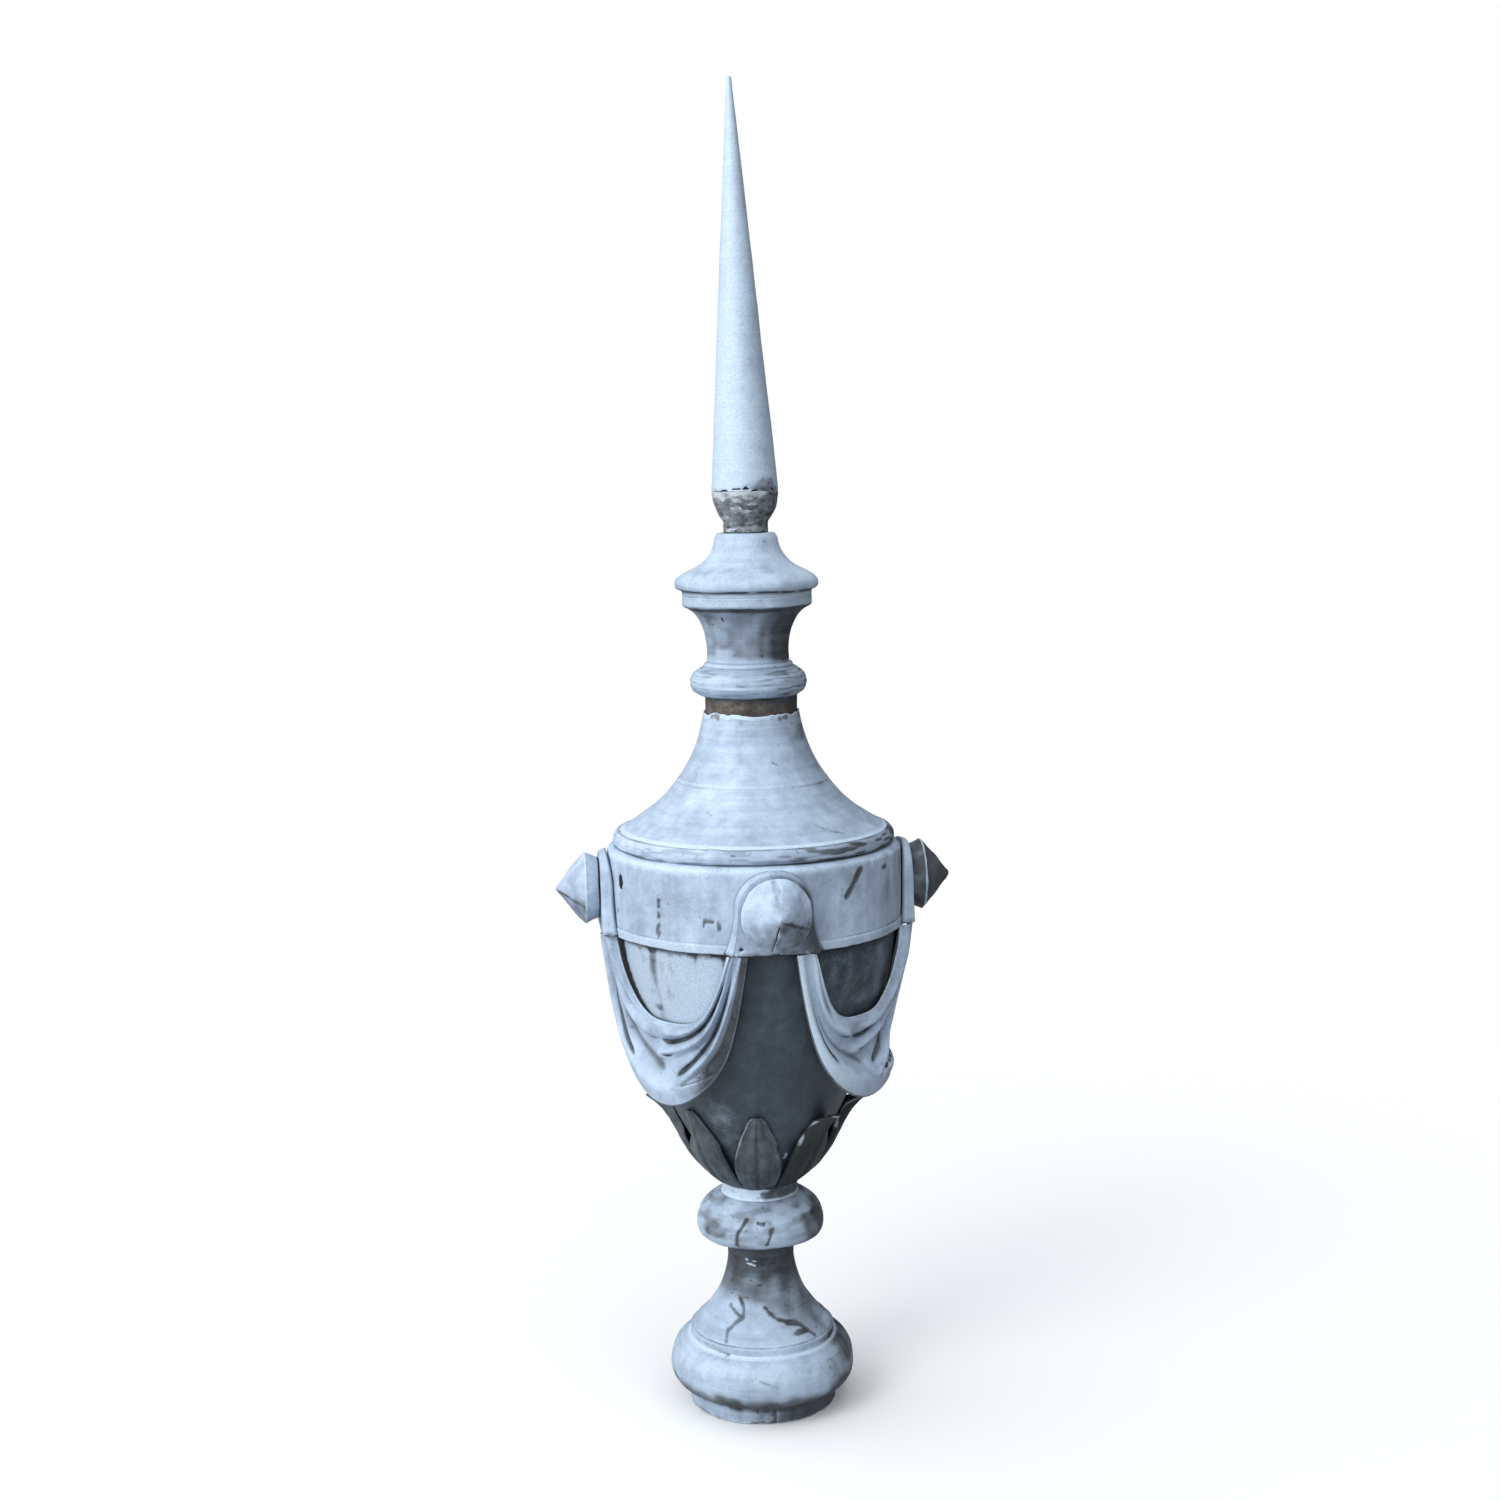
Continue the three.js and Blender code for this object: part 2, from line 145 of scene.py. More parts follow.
def softened(outline, step, corner):        # rounds each sharp corner and spaces the points evenly
    points = [np.array(point, float) for point in outline]
    eased = [points[0]]
    for before, here, after in zip(points, points[1:], points[2:]):
        into, out = here - before, after - here
        lengthIn, lengthOut = np.linalg.norm(into), np.linalg.norm(out)
        turn = np.dot(into, out) / (lengthIn * lengthOut)
        if turn < 0.93:
            first = here - into / lengthIn * min(corner, 0.45 * lengthIn)
            last = here + out / lengthOut * min(corner, 0.45 * lengthOut)
            eased += [first, 0.25 * first + 0.5 * here + 0.25 * last, last]
        else:
            eased.append(here)
    eased.append(points[-1])
    line = [eased[0]]
    for start, end in zip(eased, eased[1:]):
        onAxis = min(start[0], end[0]) <= 0.0
        count = 1 if onAxis else max(1, math.ceil(np.linalg.norm(end - start) / step))
        line += [mix(start, end, (part + 1) / count) for part in range(count)]
    return np.array(line)


# How sharply an outline turns at each point: above 0 on edges that stand out, below 0 in the hollows
def sharpness(ring):
    along = np.diff(ring, axis=0)
    length = np.linalg.norm(along, axis=1)
    way = np.concatenate([[0.0], np.cumsum(length)])
    heading = np.unwrap(np.arctan2(along[:, 1], along[:, 0]))
    middle = (way[1:] + way[:-1]) / 2
    return np.interp(way + 1.8, middle, heading) - np.interp(way - 1.8, middle, heading)


# A turned piece: the outline runs from its lower to its upper edge and is closed to the axis at both ends.
# shape moves the skin out or in, paint gives the marks that the finish reads, place sets the turned skin
# where it belongs. Dirt and painted shade settle in the seams at both ends, painted shade darkens the
# hollows, and edges wear pale under a painted highlight.
def turnPiece(name, outline, sides, shape, paint, place=None, step=2.5, corner=1.2,
              seams=(0.6, 0.6), hollowShade=0.5):
    line = softened([(0, outline[0][1]), *outline, (0, outline[-1][1])], step, corner)
    ring = line[1:-1]
    along = np.gradient(ring, axis=0)
    along /= np.linalg.norm(along, axis=1)[:, None]
    bearing = np.linspace(-180.0, 180.0, sides, endpoint=False)[None, :]
    reach = ring[:, :1] + 0.0 * bearing
    height = ring[:, 1:] + 0.0 * bearing
    bearing = bearing + 0.0 * reach
    skin = SimpleNamespace(bearing=bearing, reach=reach, height=height,
                           points=around(bearing, reach, height))
    out = shape(skin)
    points = around(bearing, np.maximum(reach + out * along[:, 1:], 0.2), height - out * along[:, :1])
    poles = [(0.0, 0.0, line[0][1]), (0.0, 0.0, line[-1][1])]
    points = np.vstack([points.reshape(-1, 3), poles])
    faces = gridFaces(len(ring), sides)
    lowPole, highPole = len(points) - 2, len(points) - 1
    top = (len(ring) - 1) * sides
    for column in range(sides):
        after = (column + 1) % sides
        faces.append((lowPole, after, column))
        faces.append((top + column, top + after, highPole))

    turn = sharpness(ring)[:, None]
    rag = cloud(skin.points, 7.0, 3) + 0.6 * cloud(skin.points, 20.0, 4)
    # painted shade in the hollows of the outline
    dirtAndShade = hollowShade * ease(-turn, 0.3, 1.0) + 0.0 * reach
    # dirt and painted shade in the seams at both ends
    for end, amount in zip((outline[0], outline[-1]), seams):
        far = np.linalg.norm(ring - np.array(end, float), axis=1)[:, None]
        dirtAndShade = np.maximum(dirtAndShade, amount * (1.0 - ease(far + 0.9 * rag, 0.6, 3.4)))
    # edges that stand out wear pale under a painted highlight
    marks = {"seamDirtAndShade": dirtAndShade, "wornEdgeAndHighlight": ease(turn, 0.5, 1.3) * (1.0 - dirtAndShade), **paint(skin)}
    marks = {mark: np.append((values + 0.0 * reach).ravel(), [0.0, 0.0])
             for mark, values in marks.items()}
    return meshPiece(name, place(points) if place else points, faces, marks)


# Marks on a skin: ragged patches, cracks along a route, drips from above, a band between two heights.
# A spot is its bearing, height, half width and half height, and a route is a list of bearings and heights.
def patch(skin, bearing, height, wide, tall, seed=0, rag=0.35):
    across = np.radians(awayFrom(skin.bearing, bearing)) * skin.reach
    far = np.hypot(across / wide, (skin.height - height) / tall)
    return 1.0 - ease(far + rag * cloud(skin.points, 0.55 * min(wide, tall) + 3.0, seed), 0.65, 1.1)


def patches(skin, spots, seed, rag):
    marks = [patch(skin, *spot, seed + index, rag) for index, spot in enumerate(spots)]
    return np.clip(sum(marks), 0, 1)


def crack(skin, route, width, seed=0):
    nearest = np.full(skin.bearing.shape, 1e9)
    middle = route[0][0]
    across = np.radians(awayFrom(skin.bearing, middle)) * skin.reach
    up = skin.height
    for (bearingA, heightA), (bearingB, heightB) in zip(route, route[1:]):
        startX = np.radians(awayFrom(bearingA, middle)) * skin.reach
        runX = np.radians(awayFrom(bearingB, bearingA)) * skin.reach
        runZ = heightB - heightA
        share = ((across - startX) * runX + (up - heightA) * runZ) / (runX ** 2 + runZ ** 2)
        share = np.clip(share, 0.0, 1.0)
        off = np.hypot(across - startX - share * runX, up - heightA - share * runZ)
        nearest = np.minimum(nearest, off)
    ragged = nearest + 1.3 * cloud(skin.points, 5.0, seed) + 0.9 * cloud(skin.points, 14.0, seed + 1)
    return 1.0 - ease(ragged, 0.3 * width, width)


def cracks(skin, routes, width, seed=0):
    marks = [crack(skin, route, width, seed + index) for index, route in enumerate(routes)]
    return np.clip(sum(marks), 0, 1)


def drips(skin, top, length, size, seed=0):
    stretched = skin.points * np.array([1.0, 1.0, 0.06])
    run = 0.5 + 0.5 * cloud(stretched, size, seed) + 0.25 * cloud(stretched, 0.4 * size, seed + 1)
    fall = 1.0 - ease(top - skin.height, 0.0, length * np.clip(run, 0.1, 1.0))
    return ease(run, 0.45, 0.85) * fall * (skin.height <= top)


def strokes(skin, size, flat, seed, least=0.0, most=0.6):   # level brush strokes round a turned piece
    return ease(cloud(skin.points * [1.0, 1.0, flat], size, seed), least, most)


def band(skin, low, high, soft):
    return ease(skin.height, low - soft, low + soft) * (1.0 - ease(skin.height, high - soft, high + soft))


def side(skin, bearing, reach, soft):       # 1 on the side that faces the bearing
    return 1.0 - ease(np.abs(awayFrom(skin.bearing, bearing)), reach - soft, reach + soft)


def rightHand(skin, low, high):             # 1 right of the front, fading out again at the back
    return ease(skin.bearing, low, high) * (1.0 - ease(skin.bearing, 125.0, 175.0))


def dinged(skin, size, depth, seed):        # the slight unevenness of thin spun metal
    return depth * (cloud(skin.points, size, seed) + 0.45 * cloud(skin.points, 0.4 * size, seed + 1))


# Weathered zinc: cloudy blue-grey bloom, run-down streaks, spinning lines and the painted marks, painted
# shade and painted light among them
def zincFinish(name, look):
    material = bpy.data.materials.new(name)
    material.use_nodes = True
    nodes, links = material.node_tree.nodes, material.node_tree.links
    shader = nodes["Principled BSDF"]
    surface = nodes.new("ShaderNodeTexCoord").outputs["Object"]

    def clouds(scale, detail, stretch=None, rough=0.6):
        source = surface
        if stretch:
            stretcher = nodes.new("ShaderNodeMapping")
            stretcher.inputs["Scale"].default_value = stretch
            links.new(surface, stretcher.inputs["Vector"])
            source = stretcher.outputs["Vector"]
        noise = nodes.new("ShaderNodeTexNoise")
        noise.inputs["Scale"].default_value = scale
        noise.inputs["Detail"].default_value = detail
        noise.inputs["Roughness"].default_value = rough
        links.new(source, noise.inputs["Vector"])
        return noise.outputs["Fac"]

    def plus(first, second, amount):        # first + second * amount
        total = nodes.new("ShaderNodeMath")
        total.operation = "MULTIPLY_ADD"
        links.new(second, total.inputs[0])
        total.inputs[1].default_value = amount
        if hasattr(first, "links"):
            links.new(first, total.inputs[2])
        else:
            total.inputs[2].default_value = first
        return total.outputs[0]

    def soft(value, low, high, least=0.0, most=1.0):
        ranged = nodes.new("ShaderNodeMapRange")
        ranged.interpolation_type = "SMOOTHSTEP"
        links.new(value, ranged.inputs["Value"])
        ranged.inputs["From Min"].default_value = low
        ranged.inputs["From Max"].default_value = high
        ranged.inputs["To Min"].default_value = least
        ranged.inputs["To Max"].default_value = most
        return ranged.outputs["Result"]

    def colours(value, stops):
        ramp = nodes.new("ShaderNodeValToRGB")
        for index, (place, colour) in enumerate(stops):
            stop = ramp.color_ramp.elements[index] if index < 2 else ramp.color_ramp.elements.new(place)
            stop.position = place
            stop.color = (*colour, 1.0)
        links.new(value, ramp.inputs["Fac"])
        return ramp.outputs["Color"]

    def over(under, upper, amount):         # lays one colour over another
        blend = nodes.new("ShaderNodeMix")
        blend.data_type = "RGBA"
        links.new(amount, blend.inputs[0])
        links.new(under, blend.inputs[6])
        links.new(upper, blend.inputs[7])
        return blend.outputs[2]

    def painted(mark):
        attribute = nodes.new("ShaderNodeAttribute")
        attribute.attribute_name = mark
        return attribute.outputs["Fac"]

    def stained(under, upper, mark, low, high, most=1.0):   # a colour that shows where the mark is painted
        return over(under, upper, soft(plus(ragged, painted(mark), 1.0), low, high, 0.0, most))

    broad = clouds(look["broad"], 5)
    mottle = clouds(look["mottle"], 6, rough=0.68)
    speck = clouds(look["speck"], 3, rough=0.7)
    runs = clouds(look["runs"], 3, (1.0, 1.0, 0.09))
    spun = clouds(look["spun"], 4, (1.0, 1.0, look["spunLines"]), 0.65)
    nicks = soft(clouds(look["nicks"], 2, rough=0.5), 0.64, 0.74)
    scuffs = soft(clouds(look["scuffSize"], 4, (1.0, 1.0, look["scuffFlat"]), 0.7), 0.58, 0.72)

    tone = plus(plus(plus(plus(0.0, broad, 0.34), mottle, 0.32), runs, 0.2), speck, 0.14)
    tone = plus(plus(-0.5 * look["spunTone"], tone, 1.0), spun, look["spunTone"])
    zinc = colours(tone, look["zinc"])
    ragged = plus(plus(-0.3, mottle, 0.44), speck, 0.16)
    # dark patina together with painted shade
    grimeAndShade = plus(plus(plus(ragged, painted("darkPatina"), 1.0), nicks, 0.22), scuffs, look["scuffs"])
    zinc = over(zinc, colours(tone, look["patinaAndShadeTone"]), soft(grimeAndShade, 0.12, 0.85))
    # pale bloom together with painted light
    bloomAndLight = colours(speck, look["bloomAndLight"])
    zinc = stained(zinc, bloomAndLight, "paleBloom", 0.15, 0.85)
    # pale worn edges with a painted highlight
    zinc = stained(zinc, bloomAndLight, "wornEdgeAndHighlight", 0.2, 1.0, 0.7)
    zinc = stained(zinc, colours(mottle, look["bare"]), "bareMetal", 0.15, 0.75)
    # dirt and painted shade in seams and hollows
    zinc = stained(zinc, colours(mottle, look["seam"]), "seamDirtAndShade", 0.2, 0.8)
    # painted shade inside holes, cracks and tears
    zinc = over(zinc, colours(mottle, look["gapShadeTone"]), soft(painted("openGap"), 0.3, 0.7))
    links.new(zinc, shader.inputs["Base Color"])
    links.new(soft(plus(tone, painted("darkPatina"), 0.25), 0.3, 0.9, *look["roughness"]),
              shader.inputs["Roughness"])
    shader.inputs["Metallic"].default_value = look["metallic"]
    shader.inputs["Specular IOR Level"].default_value = look["shine"]

    relief = plus(plus(plus(plus(0.0, mottle, 0.7), speck, 0.35), spun, look["spunRelief"]), nicks, -0.5)
    bumps = nodes.new("ShaderNodeBump")
    bumps.inputs["Strength"].default_value = look["relief"]
    bumps.inputs["Distance"].default_value = look["bumpDepth"]
    links.new(relief, bumps.inputs["Height"])
    links.new(bumps.outputs["Normal"], shader.inputs["Normal"])
    return material


sheetLook = {
    # how fine each kind of clouding is
    "broad": 7.0, "mottle": 46.0, "runs": 30.0, "speck": 420.0, "nicks": 150.0, "spun": 5.0,
    "scuffSize": 34.0,
    # how flat and how strong the spinning lines and scuffs are
    "spunLines": 3.0, "spunTone": 0.05, "spunRelief": 0.0, "scuffs": 0.16, "scuffFlat": 0.45,
    # colours, each with its place on the tone; patina, seam and gap also serve painted shade, bloom painted
    # light
    "zinc": [(0.40, (0.25, 0.305, 0.38)), (0.60, (0.50, 0.62, 0.77)), (0.5, (0.37, 0.465, 0.60))],
    "patinaAndShadeTone": [(0.40, (0.020, 0.024, 0.029)), (0.60, (0.105, 0.12, 0.138))],
    "bloomAndLight": [(0.35, (0.46, 0.585, 0.73)), (0.65, (0.62, 0.745, 0.87))],
    "bare": [(0.4, (0.06, 0.05, 0.042)), (0.6, (0.18, 0.158, 0.134))],
    "seam": [(0.4, (0.03, 0.037, 0.046)), (0.6, (0.12, 0.145, 0.175))],
    "gapShadeTone": [(0.4, (0.004, 0.005, 0.006)), (0.6, (0.012, 0.013, 0.015))],
    "roughness": (0.5, 0.78), "metallic": 0.1, "shine": 0.3, "relief": 0.5, "bumpDepth": 0.0014,
}
spunLook = {
    **sheetLook, "spunLines": 26.0, "spunTone": 0.22, "spunRelief": 0.9, "scuffs": 0.1, "scuffFlat": 4.0,
    "zinc": [(0.37, (0.26, 0.325, 0.41)), (0.63, (0.52, 0.64, 0.78)), (0.5, (0.385, 0.485, 0.62))],
}
bowlLook = {
    **sheetLook,
    "zinc": [(0.41, (0.027, 0.038, 0.05)), (0.59, (0.074, 0.097, 0.123)), (0.5, (0.044, 0.06, 0.077))],
    "patinaAndShadeTone": [(0.40, (0.010, 0.014, 0.018)), (0.60, (0.035, 0.045, 0.055))],
    "bloomAndLight": [(0.35, (0.36, 0.45, 0.565)), (0.65, (0.54, 0.645, 0.77))],
    "roughness": (0.45, 0.7), "relief": 0.3, "scuffs": 0.1,
}
leafLook = {
    **sheetLook,
    "zinc": [(0.41, (0.029, 0.0385, 0.045)), (0.59, (0.125, 0.152, 0.174)), (0.5, (0.069, 0.087, 0.102))],
    "patinaAndShadeTone": [(0.40, (0.008, 0.011, 0.013)), (0.60, (0.035, 0.043, 0.047))],
    "bloomAndLight": [(0.35, (0.28, 0.33, 0.37)), (0.65, (0.43, 0.49, 0.54))],
    "relief": 0.45,
}
sleeveLook = {
    **sheetLook,
    "zinc": [(0.41, (0.033, 0.029, 0.026)), (0.59, (0.15, 0.136, 0.121)), (0.5, (0.08, 0.073, 0.066))],
    "roughness": (0.6, 0.85), "relief": 0.6,
}
knobLook = {
    **sheetLook, "mottle": 75.0, "scuffs": 0.3, "scuffFlat": 2.0,
    "zinc": [(0.41, (0.082, 0.086, 0.09)), (0.59, (0.36, 0.40, 0.45)), (0.5, (0.195, 0.21, 0.23))],
    "bloomAndLight": [(0.35, (0.38, 0.43, 0.48)), (0.65, (0.58, 0.64, 0.7))],
    "roughness": (0.5, 0.8), "relief": 0.7,
}
sheetZinc = zincFinish("sheetZinc", sheetLook)
spunZinc = zincFinish("spunZinc", spunLook)
bowlZinc = zincFinish("bowlZinc", bowlLook)
leafZinc = zincFinish("leafZinc", leafLook)
bareSleeve = zincFinish("bareSleeve", sleeveLook)
knobZinc = zincFinish("knobZinc", knobLook)
print("finishes ready")


# Foot: base collar, foot torus, stem, knop and neck ring
baseCollar = {
    "radius": 113, "top": 29, "bulge": 0.4, "bulgeAt": 14, "seam": 1.8, "chips": 1.8,
    "palePatches": [(-4, 10, 12, 8), (-70, 10, 20, 8)], "cleanPatch": (-58, 15, 55, 12),
}


def makeBaseCollar():
    c = baseCollar
    outline = [(c["radius"], 0), (c["radius"] + c["bulge"], c["bulgeAt"]), (c["radius"], c["top"])]
    route = [[(c["seam"], 0), (c["seam"], c["top"])]]

    def shape(skin):
        edge = 1.0 - ease(skin.height, 0.0, 5.0)
        chips = c["chips"] * ease(cloud(skin.points, 9.0, 4), 0.2, 0.6) * edge
        return dinged(skin, 40.0, 0.7, 11) - 1.1 * cracks(skin, route, 2.0) - chips

    def paint(skin):
        # painted shade on the right-hand side, away from the light
        right = rightHand(skin, -40, 45)
        dirtAndShade = 0.3 + 0.5 * right + 0.3 * cloud(skin.points, 22.0, 5) + 0.12 * cloud(skin.points, 8.0, 6)
        # a painted shadow under the foot torus darkens the top of the collar
        dirtAndShade = dirtAndShade + 0.35 * band(skin, c["top"] - 9, c["top"], 4) - 0.3 * patch(skin, *c["cleanPatch"], 6)
        edge = ease(cloud(skin.points, 8.0, 7), 0.0, 0.5) * (1.0 - ease(skin.height, 1.0, 6.0))
        pale = 0.35 * patch(skin, *c["palePatches"][0], 8) + 0.35 * patch(skin, *c["palePatches"][1], 9)
        return {"darkPatina": dirtAndShade + 0.5 * cracks(skin, route, 2.6) + 0.5 * edge, "paleBloom": pale}

    piece = turnPiece("base_collar_zinc", outline, 320, shape, paint, seams=(0.2, 1.0))
    finishPiece(piece, "base_collar", spunZinc)


footTorus = {
    "collar": 113, "base": 29, "under": [(134, 30), (142, 42), (142, 58)],
    "over": [(142, 82), (131, 99), (115, 104)], "step": 111, "stepBase": 106, "stepTop": 118,
    "dirtAndShadeUpTo": (35.0, 66.0), "litPart": (55, 90), "stepFace": (106.5, 117), "paleLine": (103.5, 106.5),
    "scratches": [[(-52, 78), (-47, 66)], [(-9, 80), (-2, 74), (2, 69)], [(-60, 112), (-34, 106)]],
}


def makeFootTorus():
    c = footTorus
    start = (c["collar"], c["base"])
    outline = [start, *bend(start, *c["under"])]
    outline += bend(c["under"][-1], *c["over"])
    outline += [(c["step"], c["stepBase"]), (c["step"], c["stepTop"])]

    def shape(skin):
        return dinged(skin, 46.0, 0.9, 21) - 0.8 * cracks(skin, c["scratches"], 2.4, 3)

    def paint(skin):
        scored = cracks(skin, c["scratches"], 2.8, 3)
        # the underside darkens with dirt and painted shade
        under = 1.0 - ease(skin.height + 7.0 * cloud(skin.points, 18.0, 22), *c["dirtAndShadeUpTo"])
        # painted shade on the right-hand side
        right = rightHand(skin, 25, 75)
        brushed = strokes(skin, 30.0, 3.0, 23)
        dirtAndShade = 0.06 + 0.66 * under + 0.57 * right + 0.14 * brushed + 0.12 * cloud(skin.points, 25.0, 24)
        dirtAndShade = dirtAndShade + 0.3 * right * strokes(skin, 22.0, 0.7, 25)
        step = band(skin, *c["stepFace"], 1.5)
        # painted light on the upper left of the torus
        pale = 0.42 * ease(skin.height, *c["litPart"]) * side(skin, -35, 75, 40) - 0.15 * step
        pale = pale + 0.6 * band(skin, *c["paleLine"], 1.2)
        return {"darkPatina": dirtAndShade + 0.35 * scored, "paleBloom": pale - 0.6 * scored}

    piece = turnPiece("foot_torus_zinc", outline, 288, shape, paint, seams=(0.8, 0.35), hollowShade=0.1)
    finishPiece(piece, "foot_torus", spunZinc)


stemLook = {
    "base": 118, "foot": 108, "shoulder": (101, 128), "flare": [(84, 142), (55, 178), (51, 230)],
    "top": 268, "tide": 170, "lens": (30.4, 131.5, 15, 4), "darkRing": (232, 264), "darkFrom": (175, 240),
    "scratches": [[(-34, 236), (-16, 234.5)], [(-32, 230), (-18, 228)]],
    "cracks": [[(-38, 178), (-30, 166), (-28.7, 153.6), (-36, 146), (-41.6, 136), (-39, 122.6)],
               [(-3, 167.6), (8, 154), (22, 146), (33, 141), (43.2, 122)],
               [(-50, 166), (-38, 158), (-29, 153)]],
}


def makeStem():
    c = stemLook
    outline = [(c["foot"], c["base"]), c["shoulder"], *bend(c["shoulder"], *c["flare"])]
    outline += [(c["flare"][-1][0], c["top"])]

    def shape(skin):
        lens = patch(skin, *c["lens"], 6, 0.15)
        return dinged(skin, 34.0, 0.7, 31) - 1.5 * cracks(skin, c["cracks"], 3.0, 5) - 1.2 * lens

    def paint(skin):
        split = cracks(skin, c["cracks"], 4.4, 5)
        lens = patch(skin, *c["lens"], 6, 0.15)
        scratch = cracks(skin, c["scratches"], 2.0, 8)
        tide = c["tide"] - 42 * rightHand(skin, -20, 45) + 9 * cloud(skin.points, 22.0, 32)
        above = ease(skin.height, tide - 12, tide + 14)
        # dark streaks and the knop's painted shadow darken the top
        dirtAndShade = 0.14 + 0.34 * above + 0.4 * ease(skin.height, *c["darkFrom"])
        dirtAndShade = dirtAndShade + 0.15 * cloud(skin.points, 16.0, 33)
        # painted shade on the right-hand side
        dirtAndShade = dirtAndShade + 0.12 * rightHand(skin, 10, 70) + 0.5 * lens + 0.45 * split
        # dark level bands and painted shadow just under the knop
        dirtAndShade = dirtAndShade + 0.3 * band(skin, *c["darkRing"], 5) * strokes(skin, 12.0, 4.0, 34, -0.1, 0.4)
        pale = 0.8 * scratch + 0.14 * (1 - above) * (1 - lens) * (1 - split)
        return {"darkPatina": dirtAndShade, "paleBloom": pale}

    piece = turnPiece("stem_zinc", outline, 256, shape, paint, step=2.2, seams=(0.5, 0.9))
    finishPiece(piece, "stem", spunZinc)


knopLook = {
    "lip": (89, 268), "under": [(97, 269), (98.5, 283)], "dome": [(98.5, 306), (84, 322), (61, 332)],
    "cracks": [[(-21, 313), (-24, 304), (-28, 292), (-28, 276)], [(4, 301), (2, 290), (-1.5, 277)],
               [(-9, 309), (-4, 308)]],
    "darkRight": (56, 286, 40, 34), "darkLeft": (-52, 293, 26, 14),
}


def makeKnop():
    c = knopLook
    outline = [c["lip"], *bend(c["lip"], *c["under"]), *bend(c["under"][-1], *c["dome"])]

    def shape(skin):
        return dinged(skin, 38.0, 0.9, 41) - 1.3 * cracks(skin, c["cracks"], 3.2, 5)

    def paint(skin):
        split = cracks(skin, c["cracks"], 3.8, 5)
        # painted shade on the right-hand side
        right = patch(skin, *c["darkRight"], 42) + 0.55 * rightHand(skin, 45, 80)
        brushed = strokes(skin, 26.0, 4.0, 43)
        dirtAndShade = 0.27 + 0.42 * right + 0.5 * split + 0.2 * brushed + 0.2 * cloud(skin.points, 15.0, 44)
        dirtAndShade = dirtAndShade + 0.25 * patch(skin, *c["darkLeft"], 45)
        # painted light on the left-hand side
        return {"darkPatina": dirtAndShade, "paleBloom": 0.3 * brushed * side(skin, -25, 60, 30) - split}

    piece = turnPiece("knop_zinc", outline, 256, shape, paint, step=2.3, seams=(0.3, 0.25))
    finishPiece(piece, "knop", spunZinc)


neckRing = {"radius": 58, "flare": 2.5, "base": 332, "top": 352}


def makeNeckRing():
    c = neckRing
    outline = [(c["radius"] + c["flare"], c["base"]), (c["radius"], c["base"] + 5), (c["radius"], c["top"])]

    def shape(skin):
        return dinged(skin, 16.0, 0.8, 51)

    def paint(skin):
        flake = ease(skin.bearing + 22 * cloud(skin.points, 12.0, 52), -4, 10)
        flake = flake * (1.0 - ease(skin.bearing, 130, 160))
        flake = flake * ease(skin.height, c["base"] + 1, c["base"] + 6)
        dirtAndShade = 0.04 + 0.8 * flake + 0.22 * cloud(skin.points, 9.0, 53)
        # painted light on the left-hand side
        pale = 0.9 * side(skin, -60, 70, 25) * (1.0 - flake) * strokes(skin, 12.0, 2.0, 54, -0.8, 0.0)
        bare = 0.2 * (1.0 - flake) * band(skin, c["top"] - 10, c["top"], 3)
        return {"darkPatina": dirtAndShade, "paleBloom": pale, "bareMetal": bare}

    piece = turnPiece("neck_ring_zinc", outline, 224, shape, paint, step=1.6, seams=(0.1, 0.8))
    finishPiece(piece, "neck_ring", spunZinc)


makeBaseCollar()
makeFootTorus()
makeStem()
makeKnop()
makeNeckRing()
print("foot, stem and knop turned")


# Urn: bowl, drum, rim bead, lid and the sleeve above it
swagLine = {
    "turn": -1.2, "top": 754.7, "upperMiddle": 641, "lowerMiddle": 523,
    "upperReach": 28.7, "lowerReach": 36.4,
}


def swagEdges(sweep):                       # heights of a swag's upper edge and hem, joint to joint
    depth = np.abs(sweep)
    upper = mix(swagLine["upperMiddle"], swagLine["top"], depth ** 3.6)
    lower = mix(swagLine["lowerMiddle"], swagLine["top"], 0.52 * depth ** 2 + 0.48 * depth ** 7)
    return upper, lower


bowlLine = {
    "foot": (56, 352), "under": [(76, 368), (112, 436), (142, 497)],
    "over": [(166, 545), (210, 660), (212, 755)], "palePanel": -46, "drip": (-30, 478),
    "blob": (15.7, 417), "runsFrom": 752, "tideMark": (644, 658), "rearFrom": 650, "rightFrom": (640, 665),
    "lowShadeUpTo": (430, 620),
}
bowlPoints = np.array([bowlLine["foot"], *bend(bowlLine["foot"], *bowlLine["under"]),
                       *bend(bowlLine["under"][-1], *bowlLine["over"])])


def bowlRadius(height):
    return np.interp(height, bowlPoints[:, 1], bowlPoints[:, 0])


